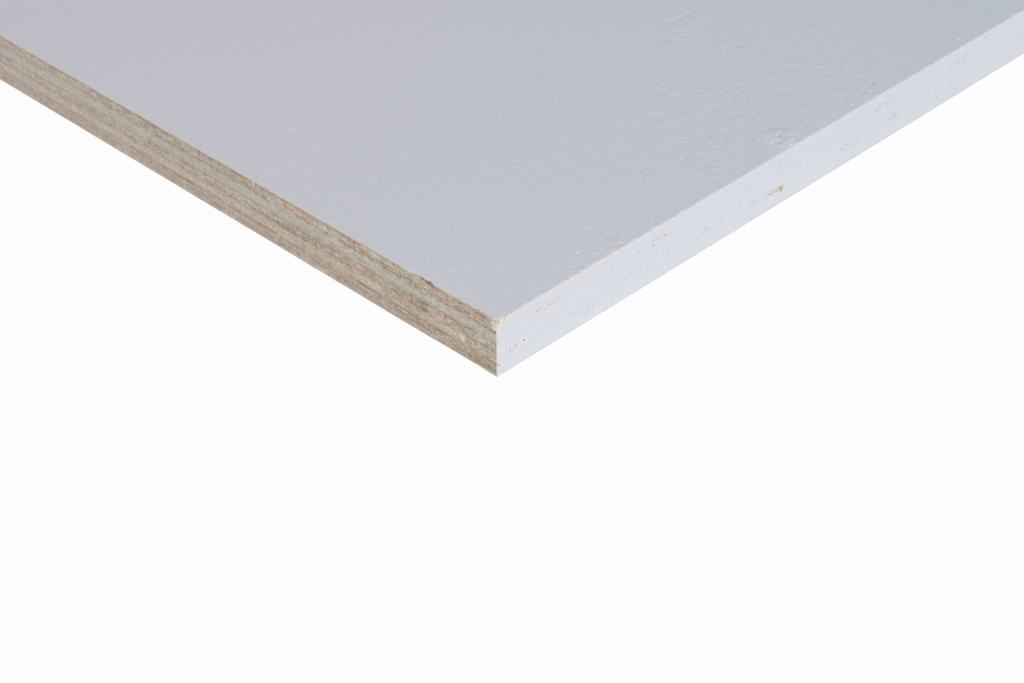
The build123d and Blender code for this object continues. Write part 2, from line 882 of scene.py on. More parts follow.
@dataclass
class FilmWear:
    """What the film has been through: pinholes, marks, dents, scuffs, and bare spots of wood.

    Its places are in millimetres from the near corner. Past the near reach the film is plain. Its dark marks
    are painted shade, and their light rims and the light marks on the film's lip are painted highlights.
    """

    sheet: Sheet
    near_reach: float
    seed: int = 11
    small_pits: int = 30
    small_radius: Pair = (0.16, 0.26)
    small_depth: Pair = (0.04, 0.09)
    dark_pit: float = 0.2
    deepest_pit: float = 0.30
    highest_lip: float = 0.045
    lip: float = 0.40
    lip_place: float = 1.75
    lip_reach: float = 0.5
    corner_reach: float = 8.0
    ragged: tuple[Ripple, ...] = (Ripple(0.5, 1.1), Ripple(0.35, 0.5))
    arris_dents: Ripple = Ripple(0.16, 1.5)
    cross_dents: Ripple = Ripple(0.10, 0.8)
    face_scuff: float = 0.42
    face_scuff_play: Ripple = Ripple(0.25, 1.5)
    edge_scuff: float = 1.3
    edge_scuff_play: Ripple = Ripple(0.9, 0.8)
    scuff_limit: float = 5.0
    named_pits: tuple[Spot, ...] = spots(
        (8.3, 9.1, 0.46, 0.4, 0.14), (6.1, 9.4, 0.4, 0.34, 0.08), (2.7, 9.3, 0.34, 0.34, 0.06),
        (50.9, 4.7, 0.36, 0.3, 0.16), (54.6, 3.7, 0.4, 0.34, 0.16), (69.1, 10.2, 0.36, 0.28, 0.14),
        (88.3, 10.2, 0.45, 0.26, 0.12), (97.2, 3.4, 0.4, 0.28, 0.12), (107.2, 9.1, 0.4, 0.3, 0.12),
        (122.7, 9.5, 0.4, 0.3, 0.1), (136.7, 4.2, 0.36, 0.3, 0.12),
    )
    groups: tuple[PitGroup, ...] = tuple(PitGroup(*row) for row in (
        (15.5, 3.8, 3.4, 0.4, 7, 0.07), (5.5, 9.5, 3.0, 1.0, 5, 0.05), (23.5, 10.2, 1.2, 0.5, 4, 0.06),
        (28.6, 11.6, 2.0, 1.2, 8, 0.06), (43.5, 9.0, 3.5, 0.8, 7, 0.06), (52.8, 3.8, 3.0, 0.9, 9, 0.07),
        (71.5, 9.4, 4.5, 0.8, 9, 0.07), (90.0, 9.6, 3.0, 0.6, 5, 0.07), (98.0, 3.6, 3.0, 0.6, 7, 0.07),
        (107.5, 9.2, 3.0, 0.6, 5, 0.05), (125.5, 9.4, 4.5, 0.8, 10, 0.07), (140.0, 3.6, 4.5, 0.8, 12, 0.08),
        (145.0, 9.0, 3.2, 0.9, 10, 0.09), (158.0, 4.6, 3.0, 0.5, 5, 0.07), (175.0, 4.0, 3.5, 0.8, 8, 0.07),
        (2.0, 1.2, 2.0, 0.5, 4, 0.07),
    ))
    # Marks on the front edge: along, below, reaches, darkness, light rim and tilt; the darkness is painted
    # shade and the light rim a painted highlight
    marks: tuple[Spot, ...] = spots(
        (8.3, 9.1, 0.78, 0.66, 0.62, 0.55, 0.5), (6.0, 9.5, 0.95, 0.8, 0.14, 0.28, 0.5),
        (5.7, 9.2, 0.4, 0.35, 0.3), (6.6, 9.9, 0.4, 0.35, 0.3), (2.7, 8.6, 0.75, 0.7, 0.1, 0.35, 0.5),
        (3.9, 9.8, 0.46, 0.42, 0.45), (4.6, 9.1, 0.4, 0.35, 0.25), (12.4, 3.7, 1.1, 0.3, 0.6, 0.0, 0.5),
        (13.6, 3.4, 0.8, 0.32, 0.35, 0.0, 0.2), (16.4, 3.7, 0.8, 0.36, 0.5), (17.5, 3.4, 0.5, 0.34, 0.25),
        (18.7, 3.5, 0.7, 0.34, 0.45), (19.3, 3.1, 0.5, 0.3, 0.35), (14.8, 4.6, 0.26, 1.1, 0.3, 0.2),
        (15.5, 4.6, 0.26, 1.1, 0.3, 0.2), (11.2, 4.2, 0.5, 0.4, 0.15), (13.9, 2.1, 0.6, 0.5, 0.15, 0.2),
        (9.4, 2.6, 0.5, 0.5, -0.3), (22.6, 10.3, 0.28, 1.0, 0.3, 0.2), (23.4, 9.8, 0.28, 0.9, 0.3, 0.2),
        (24.2, 10.2, 0.28, 0.9, 0.25), (20.1, 10.4, 0.35, 0.5, 0.2), (21.8, 12.6, 0.3, 0.5, 0.3),
        (27.1, 5.3, 0.4, 0.35, 0.35), (27.6, 10.4, 0.5, 0.42, 0.35, 0.2), (29.2, 11.2, 0.45, 0.4, 0.3, 0.2),
        (28.2, 8.3, 0.4, 0.4, 0.35), (50.9, 4.7, 0.7, 0.6, 0.6, 0.3), (51.8, 3.1, 0.5, 0.4, 0.25, 0.2),
        (54.6, 3.7, 0.7, 0.55, 0.65, 0.35), (53.0, 4.2, 0.6, 0.6, 0.25, 0.25), (49.9, 3.2, 0.4, 0.4, 0.25),
        (52.6, 2.6, 0.5, 0.4, -0.4), (69.1, 10.2, 0.6, 0.55, 0.55, 0.25), (70.5, 8.9, 0.3, 1.0, 0.2, 0.3),
        (71.3, 8.6, 0.3, 1.0, -0.4), (76.4, 9.1, 0.5, 0.5, 0.3, 0.2), (77.9, 8.8, 0.4, 0.4, 0.25),
        (88.3, 10.2, 0.7, 0.45, 0.5, 0.2), (89.7, 9.7, 0.5, 0.35, 0.35), (97.2, 3.4, 0.7, 0.5, 0.45, 0.25),
        (98.9, 3.0, 0.5, 0.4, 0.25, 0.2), (107.2, 9.1, 0.6, 0.5, 0.4, 0.2), (122.7, 9.5, 0.8, 0.5, 0.4),
        (128.7, 9.5, 0.7, 0.5, 0.35, 0.2), (136.7, 4.2, 0.7, 0.5, 0.55, 0.2),
        (0.15, 11.65, 1.8, 0.34, 0.85, 0.5, 0.5), (0.35, 5.0, 0.26, 2.2, -0.8), (0.3, 8.3, 0.24, 1.6, -0.8),
        (0.95, 7.4, 0.22, 2.4, -0.6), (0.6, 10.2, 0.3, 0.9, -0.7), (1.6, 8.6, 0.25, 1.2, -0.4),
        (1.0, 3.8, 0.3, 0.8, -0.4), (0.7, 13.0, 0.4, 0.8, -0.5), (93.8, 10.1, 1.2, 0.45, 0.6, 0.0, 0.5),
        (98.2, 10.3, 1.0, 0.8, 0.45, 0.0, 0.3),
    )
    # Dark dots of painted shade on the front arris, and light marks that are painted highlights along the
    # film's lip at the sawn end
    arris_dots: tuple[Spot, ...] = spots(
        (3.0, 0.5, 0.5, 0.36, 0.5), (4.7, 0.5, 0.8, 0.32, 0.6), (7.9, 0.4, 0.7, 0.3, 0.4),
        (0.1, 28.3, 0.9, 4.2, -0.9), (0.1, 22.6, 0.9, 1.6, -0.9), (0.1, 1.0, 0.8, 2.0, -0.8),
        (0.1, 14.5, 0.6, 2.2, -0.5), (0.1, 9.0, 0.5, 1.6, -0.5), (0.1, 33.0, 0.6, 2.0, -0.5),
    )
    bare_spots: tuple[Spot, ...] = spots(
        (93.1, 10.4, 0.9, 0.42, 0.15), (95.0, 10.1, 1.6, 0.55, 0.15), (97.2, 10.1, 1.4, 0.75, 0.2),
        (98.4, 10.4, 0.9, 1.3, 0.2),
    )

    def pits(self) -> list[Spot]:
        """Pinholes in the front edge.

        Returns:
            The named ones, then some over the crossbands, then the loose groups.
        """
        pick = random.Random(self.seed)
        levels = [self.sheet.levels[name] for name in ("upper_crossband", "lower_crossband")]
        found = list(self.named_pits)
        for _ in range(self.small_pits):
            low, high = pick.choice(levels)
            below = self.sheet.thickness - pick.uniform(low - 0.2, high + 0.2)
            size = pick.uniform(*self.small_radius)
            along = pick.uniform(4.0, self.near_reach - 5)
            found.append(Spot(along, below, size * pick.uniform(1.0, 1.8), size,
                              pick.uniform(*self.small_depth)))
        for group in self.groups:
            found += group.scatter(pick)
        return found

    def pit_field(self, points: np.ndarray) -> tuple[np.ndarray, np.ndarray]:
        """Sinks the pinholes, each with a raised lip.

        Args:
            points: The outer vertices.

        Returns:
            How much each vertex is inside a pinhole, and how deep it lies there.
        """
        near_x, near_y = self.sheet.near
        on_edge = (points[:, 1] < near_y + SKIN) & (points[:, 0] < near_x + self.near_reach)
        chosen = np.nonzero(on_edge)[0]
        along = points[chosen, 0] - near_x
        below = self.sheet.thickness - points[chosen, 2]
        inside, depth = np.zeros((2, len(chosen)))
        for pit in self.pits():
            far = pit.far(along, below)
            hollow = np.exp(-far)
            lip = self.lip * np.exp(-((np.sqrt(far) - self.lip_place) / self.lip_reach) ** 2)
            depth += pit.amount * (hollow - lip)
            inside = np.maximum(inside, hollow * min(1.0, pit.amount / self.dark_pit))
        pit_all, drop = np.zeros((2, len(points)))
        pit_all[chosen] = inside
        drop[chosen] = np.clip(depth, -self.highest_lip, self.deepest_pit)
        return pit_all, drop

    def mark_field(self, points: np.ndarray) -> tuple[np.ndarray, np.ndarray]:
        """Colours the craters, scratches and scuffs on the edge and along its arris: painted shade in the
        dark hollows, painted highlights on the light rims and on the film's lip at the sawn end.

        Args:
            points: The outer vertices.

        Returns:
            How dark and how light each vertex is.
        """
        near_x, near_y = self.sheet.near
        along = points[:, 0] - near_x
        across = points[:, 1] - near_y
        below = self.sheet.thickness - points[:, 2]
        dark, light = np.zeros((2, len(points)))
        on_edge, on_arris = (across < 0.2, below, self.marks), (below < 0.5, across, self.arris_dots)
        for shown, places, found in (on_edge, on_arris):
            chosen = np.nonzero(shown & (along < self.near_reach))[0]
            for mark in found:
                far = mark.far(along[chosen], places[chosen])
                # Painted shade in each dark mark's hollow and a painted highlight on its rim; a negative
                # amount gives a light mark
                hollow = np.clip((0.36 - far) / 0.30, 0, 1) * mark.amount
                ring = np.clip((far - 0.30) / 0.4, 0, 1) * np.clip((1.9 - far) / 0.8, 0, 1) * mark.light_rim
                dark[chosen] = np.maximum(dark[chosen], hollow)
                light[chosen] = np.maximum(light[chosen], np.maximum(ring, -hollow))
        return dark, light

    def bare_field(self, points: np.ndarray) -> np.ndarray:
        """Wears the paint off at the near corner and in the bare spots of the edge.

        Args:
            points: The outer vertices.

        Returns:
            How much of the wood shows through at each vertex.
        """
        near_x, near_y = self.sheet.near
        values = np.zeros(len(points))
        along_edge = points[:, 0] - near_x
        under_face = self.sheet.thickness - points[:, 2]
        on_edge = points[:, 1] < near_y + SKIN
        for spot in self.bare_spots:
            values = np.maximum(values, np.where(on_edge, np.exp(-spot.far(along_edge, under_face)), 0.0))
        reach = (points[:, 0] < near_x + self.corner_reach) & (points[:, 1] < near_y + self.corner_reach)
        for k in np.nonzero(reach)[0]:
            x, y, z = points[k]
            along, across, below = x - near_x, y - near_y, self.sheet.thickness - z
            ragged = sum(lumps.at(x, y, z) for lumps in self.ragged)
            worn = 1.0 - along / 4.2 - max(0.0, below - 0.6) / 1.8 - across / 1.2 + 0.8 * ragged
            values[k] = min(1.0, max(values[k], 2.0 * worn))
        return values

    def dents(self, points: np.ndarray) -> np.ndarray:
        """Small dents along the front arris, which only go inwards.

        Args:
            points: The outer vertices.

        Returns:
            How deep each vertex lies in a dent.
        """
        near_x, near_y = self.sheet.near
        values = np.zeros(len(points))
        close = (points[:, 1] < near_y + 0.7) & (points[:, 2] > self.sheet.thickness - 0.7)
        for k in np.nonzero(close & (points[:, 0] < near_x + self.near_reach))[0]:
            x, y, z = points[k]
            values[k] = max(0.0, self.arris_dents.at(x, y, z)) + max(0.0, self.cross_dents.at(x, 4.0, 0.0))
        return values

    def rim_field(self, points: np.ndarray) -> np.ndarray:
        """Scuffs the film close to the sawn ends, further in on the long edges than on the face.

        Args:
            points: The outer vertices.

        Returns:
            How much each vertex is scuffed.
        """
        near_x, near_y = self.sheet.near
        values = np.zeros(len(points))
        for k in np.nonzero(np.abs(points[:, 0]) > -near_x - self.scuff_limit)[0]:
            x, y, z = points[k]
            inward = -near_x - abs(x)
            if abs(y) > -near_y - self.sheet.arris:
                reach = self.edge_scuff + self.edge_scuff_play.at(x, y, z)
            else:
                reach = self.face_scuff + self.face_scuff_play.at(x, y, z)
            values[k] = math.exp(-(inward / max(reach, 0.1)) ** 2)
        return values


@dataclass
class PaintCoat:
    """The film of paint: over both faces and both long edges, and sawn through at the ends.

    It lies sunk inside the solids' surface by a little, more on the face than on the edges, so that what
    stands on it stays inside them. Its mesh is fine within the near reach and coarse past it. Rectangles of
    the front edge that hold a mark have a finer mesh still: from, to, top and bottom.
    """

    sheet: Sheet
    ends: SawnEnds
    near_reach: float = 215.0
    fine_step: float = 0.33
    end_step: float = 2.5
    arris_steps: int = 6
    sunk: float = 0.10
    edge_sunk: float = 0.07
    near_coarse: float = 12.0
    far_first: float = 4.0
    far_coarse: float = 16.0
    far_rise: float = 1.2
    far_edge_step: float = 3.0
    level_cell: float = 60.0
    shallowest: float = 0.01
    peel: tuple[Ripple, ...] = (Ripple(0.012, 1.3), Ripple(0.012, 6.0))
    mark_depth: float = 0.06
    scuff_height: float = 0.015
    bare_depth: float = 0.12
    saw_limit: float = 12.0
    saw_fade: float = 3.0
    detailed: tuple[tuple[float, float, float, float], ...] = (
        (0.0, 4.0, 0.0, 15.0), (4.0, 9.6, 8.2, 10.8), (10.5, 20.0, 1.6, 5.8), (20.0, 30.5, 8.0, 13.0),
        (26.6, 27.6, 4.9, 5.8), (49.0, 55.6, 2.0, 5.6), (68.3, 78.6, 8.0, 11.0), (87.4, 100.0, 9.2, 11.2),
        (96.3, 99.6, 2.5, 4.1), (106.4, 108.0, 8.4, 9.8), (121.8, 123.6, 8.8, 10.2),
        (127.9, 129.6, 8.8, 10.2), (135.8, 137.6, 3.5, 4.9),
    )
    detailed_step: float = 0.15

    def path(self) -> list[tuple[str, float]]:
        """The stretches of the section, from the front lower arris, up and round.

        Returns:
            The name and length of each.
        """
        flat = self.sheet.width - 2 * self.sheet.arris
        upright = self.sheet.thickness - 2 * self.sheet.arris
        turn = self.sheet.arris * math.pi / 2
        return [("front_lower", turn), ("front", upright), ("front_upper", turn), ("face", flat),
                ("rear_upper", turn), ("rear", upright), ("rear_lower", turn), ("back", flat)]

    def section(self, place: float) -> tuple[float, float, float, float]:
        """Point and outward direction on the section.

        Args:
            place: Distance round the section.

        Returns:
            Y and Z of the point, and Y and Z of the direction.
        """
        half = self.sheet.width / 2
        radius = self.sheet.arris
        top = self.sheet.thickness
        corners = {
            "front_lower": (radius - half, radius, -90),
            "front_upper": (radius - half, top - radius, 180),
            "rear_upper": (half - radius, top - radius, 90),
            "rear_lower": (half - radius, radius, 0),
        }
        for name, length in self.path():
            if place <= length:
                break
            place -= length
        if name in corners:
            y, z, start = corners[name]
            angle = math.radians(start) - place / radius
            cos, sin = math.cos(angle), math.sin(angle)
            return y + radius * cos, z + radius * sin, cos, sin
        if name == "front":
            return -half, radius + place, -1.0, 0.0
        if name == "face":
            return radius - half + place, top, 0.0, 1.0
        if name == "rear":
            return half, top - radius - place, 1.0, 0.0
        return half - radius - place, 0.0, 0.0, -1.0

    def rim_zones(self, low: Pair, high: Pair) -> list[FineZone]:
        """Where the face and the back are less coarse: along all four rims.

        Args:
            low: The patch's lowest corner.
            high: Its highest corner.

        Returns:
            The zones.
        """
        ends = ((low, (low[0], high[1])), ((high[0], low[1]), high))
        sides = ((low, (high[0], low[1])), ((low[0], high[1]), high))
        return ([FineZone(*corners, self.end_step) for corners in ends]
                + [FineZone(*corners, self.near_coarse) for corners in sides])

    def patches(self) -> list[Patch]:
        """The outer side of the film, unrolled.

        Returns:
            One patch for each stretch of the section, with X along the sheet and Y round the section.
        """
        length = self.sheet.length
        fine, step = self.near_reach, self.fine_step
        near_line = graded_line(length, fine, step, self.near_coarse)
        far_line = graded_line(length, 0.0, self.far_first, self.far_coarse)
        flat = self.sheet.width - 2 * self.sheet.arris
        upright = self.sheet.thickness - 2 * self.sheet.arris
        end_fine = graded_line(flat, fine, step, self.end_step)
        end_plain = graded_line(flat, 0.0, self.end_step, self.end_step)
        rise = graded_line(upright, upright, step, step)
        rise_plain = graded_line(upright, 0.0, self.far_rise, self.far_rise)
        made = []
        start = 0.0
        for name, run in self.path():
            low, high = (0.0, start), (length, start + run)
            start += run
            if name == "front":
                rims = {"left": rise, "right": rise_plain, "bottom": near_line, "top": near_line}
                zones = [FineZone(low, (fine, high[1]), step)]
                zones.append(FineZone((fine, low[1]), high, self.far_edge_step))
                level = high[1] + self.sheet.arris
                zones += [FineZone((first, level - bottom), (last, level - top), self.detailed_step, 0.2)
                          for first, last, top, bottom in self.detailed]
                made.append(Patch.cut(low, high, rims, zones, upright))
            elif name == "rear":
                rims = {"left": rise_plain, "right": rise_plain, "bottom": far_line, "top": far_line}
                made.append(Patch.cut(low, high, rims, [FineZone(low, high, self.far_first)], upright))
            elif name == "face":
                rims = {"left": end_fine, "right": end_plain, "bottom": near_line, "top": far_line}
                zones = [FineZone(low, (0.0, low[1] + fine), step), FineZone(low, (fine, low[1]), step)]
                made.append(Patch.cut(low, high, rims, zones + self.rim_zones(low, high), self.level_cell))
            elif name == "back":
                rims = {"left": end_plain, "right": end_plain, "bottom": far_line, "top": near_line}
                zones = [FineZone((0.0, high[1]), (fine, high[1]), step)]
                made.append(Patch.cut(low, high, rims, zones + self.rim_zones(low, high), self.level_cell))
            else:
                line = near_line if name.startswith("front") else far_line
                made.append(self.arris_patch(low, run, line))
        return made

    def arris_patch(self, low: Pair, run: float, line: list[float]) -> Patch:
        """A plain grid of triangles round one arris.

        Args:
            low: Its lowest corner.
            run: Its length round the section.
            line: Places along the sheet.

        Returns:
            The patch.
        """
        rows = self.arris_steps + 1
        points = [(x, low[1] + run * row / self.arris_steps) for x in line for row in range(rows)]
        triangles = []
        for column in range(len(line) - 1):
            for row in range(self.arris_steps):
                a = column * rows + row
                b = a + rows
                triangles += [(a, b, b + 1), (a, b + 1, a + 1)]
        return Patch(points, triangles)

    def unrolled(self) -> tuple[dict[Pair, int], list[Pair], list[tuple[int, ...]]]:
        """Joins the patches into one surface.

        Returns:
            The number of each vertex by its rounded place, the places along the sheet and round the section,
            and the faces.
        """
        turn = sum(length for _, length in self.path())
        keys: dict[Pair, int] = {}
        flat: list[Pair] = []
        faces: list[tuple[int, ...]] = []
        for patch in self.patches():
            numbers = []
            for x, place in patch.points:
                key = (round(x, 4), round(place % turn, 4) % round(turn, 4))
                if key not in keys:
                    keys[key] = len(flat)
                    flat.append((x, key[1]))
                numbers.append(keys[key])
            faces += [tuple(numbers[v] for v in triangle) for triangle in patch.triangles]
        return keys, flat, faces

    def build(self) -> bpy.types.Object:
        """Builds the film as one closed mesh.

        Returns:
            The object, with the attributes pit, bare, dark, light, rim and smear.
        """
        keys, flat, faces = self.unrolled()
        outer = [self.section(place) for _, place in flat]
        along = np.array([x for x, _ in flat]) - self.sheet.length / 2
        points = np.array([(x, y, z) for x, (y, z, _, _) in zip(along, outer)])
        out = np.array([(0.0, ny, nz) for _, _, ny, nz in outer])
        wear = FilmWear(self.sheet, self.near_reach)
        pit, drop = wear.pit_field(points)
        relief = np.array([sum(lumps.at(*point) for lumps in self.peel) for point in points])
        bare = wear.bare_field(points)
        rim_scuff = wear.rim_field(points)
        dark, light = wear.mark_field(points)
        relief += wear.dents(points) + self.mark_depth * dark - self.scuff_height * light
        sunk = self.edge_sunk + (self.sunk - self.edge_sunk) * np.maximum(out[:, 2], 0.0)
        inward = sunk + drop + relief + self.bare_depth * bare
        points = points - out * np.maximum(inward, self.shallowest)[:, None]
        self.saw(points)
        smear = np.zeros(len(points))
        inner: list[Triple] = []
        inner_smear = []
        loops = []
        for end in (0.0, self.sheet.length):
            rim = sorted((key[1], number) for key, number in keys.items() if key[0] == round(end, 4))
            back_rim = [(place, len(points) + len(inner) + k) for k, (place, _) in enumerate(rim)]
            for place, number in rim:
                point, kind = self.inner_rim(end, place)
                inner.append(point)
                smear[number] = kind.value[0]
                inner_smear.append(kind.value[1])
            ring = zip(rim, rim[1:] + rim[:1], back_rim[1:] + back_rim[:1], back_rim)
            faces += [tuple(number for _, number in corners) for corners in ring]
            loops.append(back_rim)
        faces += bridge(loops[0], loops[1], sum(length for _, length in self.path()))
        plain = np.zeros(len(inner))
        outside = {"pit": pit, "bare": bare, "dark": dark, "light": light}
        painted = {name: np.append(values, plain) for name, values in outside.items()}
        painted["rim"] = np.append(rim_scuff, plain + 1)
        painted["smear"] = np.append(smear, inner_smear)
        return make_object("paint_coat", np.vstack([points, np.array(inner)]), faces, marks=painted)

    def inner_rim(self, end: float, place: float) -> tuple[Triple, RimSmear]:
        """Where the film's inner side meets a sawn end.

        Args:
            end: The end, by its place along the unrolled film.
            place: Place round the section.

        Returns:
            The point, and how smeared the film is there.
        """
        film = self.sheet.film
        y, z, ny, nz = self.section(place)
        x = end - self.sheet.length / 2
        y, z = y - ny * film, z - nz * film
        depth = self.ends.recess(x, y, z) + 0.9 * self.ends.bitten(x, y, z)
        point = (x + math.copysign(depth, -x), y, z)
        upper = z > self.sheet.thickness - 2 * film
        if y < self.sheet.near[1] + 1.1 * film and not upper:
            return point, RimSmear.CORNER
        if upper:
            return point, RimSmear.UPPER
        return point, RimSmear.UNDER if z < 2 * film else RimSmear.SIDE

    def saw(self, points: np.ndarray) -> None:
        """Moves the film's rims in to where the saw left them, and what lies near them a little.

        Args:
            points: The outer vertices, which are changed.
        """
        half = self.sheet.length / 2
        for k in np.nonzero(np.abs(points[:, 0]) > half - self.saw_limit)[0]:
            x, y, z = points[k]
            inward = half - abs(x)
            depth = self.ends.recess(x, y, z) + self.ends.film_break(x, y, z)
            points[k, 0] = math.copysign(half - inward - depth * math.exp(-inward / self.saw_fade), x)


@dataclass
class Veneer:
    """One glued veneer: sawn across at both ends and hidden on its other sides."""

    sheet: Sheet
    ends: SawnEnds
    name: str
    near_reach: float = 200.0
    fine_step: float = 0.33
    far_step: float = 1.6

    def rounded(self, y: float, z: float) -> Pair:
        """Moves a point of the section in, where an outer veneer has a sanded arris.

        Args:
            y: The point's place across the sheet.
            z: Its height over the underside.

        Returns:
            The place and height that it moves to.
        """
        radius = self.sheet.arris - self.sheet.film
        half = self.sheet.width / 2 - self.sheet.film
        low, high = self.sheet.film, self.sheet.thickness - self.sheet.film
        across = abs(y) - (half - radius)
        up = z - (high - radius)
        down = (low + radius) - z
        past = max(up, down)
        if across <= 0 or past <= 0:
            return y, z
        shrink = max(across, past) / math.hypot(across, past)
        new_y = math.copysign(half - radius + across * shrink, y)
        new_z = high - radius + past * shrink if up > down else low + radius - past * shrink
        return new_y, new_z

    def build(self) -> bpy.types.Object:
        """Builds the veneer as one closed mesh.

        Returns:
            The object.
        """
        low_z, high_z = self.sheet.levels[self.name]
        half = self.sheet.width / 2 - self.sheet.film
        low, high = (-half, low_z), (half, high_z)
        width, rise = 2 * half, high_z - low_z
        points: list[Triple] = []
        faces: list[tuple[int, ...]] = []
        loops = []
        for x, fine, step in ((-self.sheet.length / 2, self.near_reach, self.fine_step),
                              (self.sheet.length / 2, 0.0, self.far_step)):
            across = graded_line(width, fine, step, self.far_step)
            up = graded_line(rise, rise, min(step, rise / 3), self.far_step)
            rims = {"left": up, "right": up, "bottom": across, "top": across}
            zones = [FineZone(low, (-half + fine, high_z), step, 0.1), FineZone(low, high, self.far_step)]
            patch = Patch.cut(low, high, rims, zones, rise)
            first = len(points)
            for y, z in patch.points:
                depth = self.ends.recess(x, y, z)
                points.append((x + math.copysign(depth, -x), *self.rounded(y, z)))
            faces += [tuple(first + v for v in triangle) for triangle in patch.triangles]
            loops.append(self.rim(patch, low, high, first))
        faces += bridge(loops[0], loops[1], 4.0)
        return make_object(f"{self.name}_ply", np.array(points), faces, sharp_angle=60.0)

    @staticmethod
    def rim(patch: Patch, low: Pair, high: Pair, first: int) -> list[tuple[float, int]]:
        """Puts the patch's outer vertices in order.

        Args:
            patch: The patch.
            low: Its lowest corner.
            high: Its highest corner.
            first: The number of its first vertex in the whole mesh.

        Returns:
            The place of each from 0 to 4 round the rectangle, and its number.
        """
        found = {}
        for number, (y, z) in enumerate(patch.points):
            across = (y - low[0]) / (high[0] - low[0])
            up = (z - low[1]) / (high[1] - low[1])
            if z == low[1]:
                found[first + number] = across % 4
            elif z == high[1]:
                found[first + number] = 3 - across
            elif y == high[0]:
                found[first + number] = 1 + up
            elif y == low[0]:
                found[first + number] = 4 - up
        return sorted((place, number) for number, place in found.items())


class Speck(Enum):
    """The small shapes that are strewn over a surface."""

    NIB = "nib"
    FIBRE = "fibre"


@dataclass(frozen=True)
class Field:
    """A rectangle to strew over, in millimetres from the near corner.

    The crowd is how many lie on a square centimetre, and the girth scales their size.
    """

    along: Pair
    across: Pair
    crowd: float
    girth: float = 1.0


class Strewer(Builder):
    """A Geometry Nodes tree that strews one small shape over a host mesh, as thickly as the host says."""

    def __init__(self, speck: Speck) -> None:
        """Builds the tree.

        Args:
            speck: The shape that it strews.
        """
        super().__init__(bpy.data.node_groups.new(f"strew_{speck.value}", "GeometryNodeTree"))
        self.tree.is_modifier = True
        kinds = {"Host": "NodeSocketGeometry", "Smallest": "NodeSocketFloat", "Largest": "NodeSocketFloat",
                 "Flatness": "NodeSocketFloat", "Tallest": "NodeSocketFloat", "Stretch": "NodeSocketFloat",
                 "Seed": "NodeSocketInt", "Finish": "NodeSocketMaterial"}
        interface = self.tree.interface
        self.keys = {name: interface.new_socket(name, in_out="INPUT", socket_type=kind).identifier
                     for name, kind in kinds.items()}
        interface.new_socket("Strewn", in_out="OUTPUT", socket_type="NodeSocketGeometry")
        given = self.node("NodeGroupInput").outputs
        crowd = self.named("crowd")
        strewn = self.node("GeometryNodeDistributePointsOnFaces", {"distribute_method": "RANDOM"},
                           {"Mesh": given["Host"], "Density": crowd, "Seed": given["Seed"]})
        named = self.node("GeometryNodeMeshToPoints", {"mode": "VERTICES"},
                          {"Mesh": given["Host"], "Selection": self.named("single", "BOOLEAN")})
        points = self.node("GeometryNodeJoinGeometry")
        self.feed(points.inputs[0], strewn.outputs["Points"])
        self.feed(points.inputs[0], named.outputs["Points"])
        size = self.chance(given["Smallest"], given["Largest"], 1) * Number(self, self.named("girth"))
        longer = self.chance(1.0, given["Stretch"], 2)
        flatness = Number(self, given["Flatness"])
        if speck is Speck.NIB:
            shape = self.node("GeometryNodeMeshIcoSphere", None, {"Radius": 1.0, "Subdivisions": 2})
            scale = self.vector(size * longer, size, (size * flatness).minimum(given["Tallest"]))
            turn = self.vector(0.0, 0.0, self.chance(0.0, math.tau, 3))
        else:
            shape = self.node("GeometryNodeMeshCone", {"fill_type": "NGON"},
                              {"Vertices": 5, "Side Segments": 1, "Fill Segments": 1, "Radius Top": 0.3,
                               "Radius Bottom": 1.0, "Depth": 1.0})
            scale = self.vector(size * flatness, size * flatness, size * longer)
            turn = self.vector(self.chance(1.15, 1.95, 3), self.chance(-0.05, 0.05, 4), 0.0)
        instances = self.node("GeometryNodeInstanceOnPoints", None,
                              {"Points": points.outputs[0], "Instance": shape.outputs["Mesh"],
                               "Rotation": turn, "Scale": scale})
        real = self.node("GeometryNodeRealizeInstances", None, {"Geometry": instances.outputs[0]})
        dressed = self.node("GeometryNodeSetMaterial", None,
                            {"Geometry": real.outputs[0], "Material": given["Finish"]})
        self.node("NodeGroupOutput", None, {0: dressed.outputs[0]})

    def named(self, name: str, kind: str = "FLOAT") -> Link:
        """An attribute that the host carries."""
        made = self.node("GeometryNodeInputNamedAttribute", {"data_type": kind}, {"Name": name})
        return made.outputs["Attribute"]

    def chance(self, low: object, high: object, seed: int) -> Number:
        """A random number for each point.

        Args:
            low: The least that it can be.
            high: The most.
            seed: Sets one draw apart from the next.

        Returns:
            The number.
        """
        sockets = {"Min": low, "Max": high, "Seed": seed}
        made = self.node("FunctionNodeRandomValue", {"data_type": "FLOAT"}, sockets)
        return Number(self, next(s for s in made.outputs if s.enabled))

    def vector(self, x: object, y: object, z: object) -> Link:
        """A vector from three numbers."""
        return self.node("ShaderNodeCombineXYZ", None, {0: x, 1: y, 2: z}).outputs[0]

    def strew(self, host: bpy.types.Object, name: str, settings: dict[str, object]) -> bpy.types.Object:
        """Strews over the host and keeps only what was strewn.

        Args:
            host: The surface, which is removed afterwards.
            name: The new object's name.
            settings: A value for each named input.

        Returns:
            The strewn pieces as one plain mesh object.
        """
        modifier = host.modifiers.new("strew", "NODES")
        modifier.node_group = self.tree
        for key, value in settings.items():
            modifier[self.keys[key]] = value
        bpy.context.view_layer.update()
        depsgraph = bpy.context.evaluated_depsgraph_get()
        mesh = bpy.data.meshes.new_from_object(host.evaluated_get(depsgraph))
        host.modifiers.remove(modifier)
        bpy.data.objects.remove(host)
        mesh.name = name
        mesh.polygons.foreach_set("use_smooth", [True] * len(mesh.polygons))
        LOG.info("%s: %d faces", name, len(mesh.polygons))
        return add_object(name, mesh)


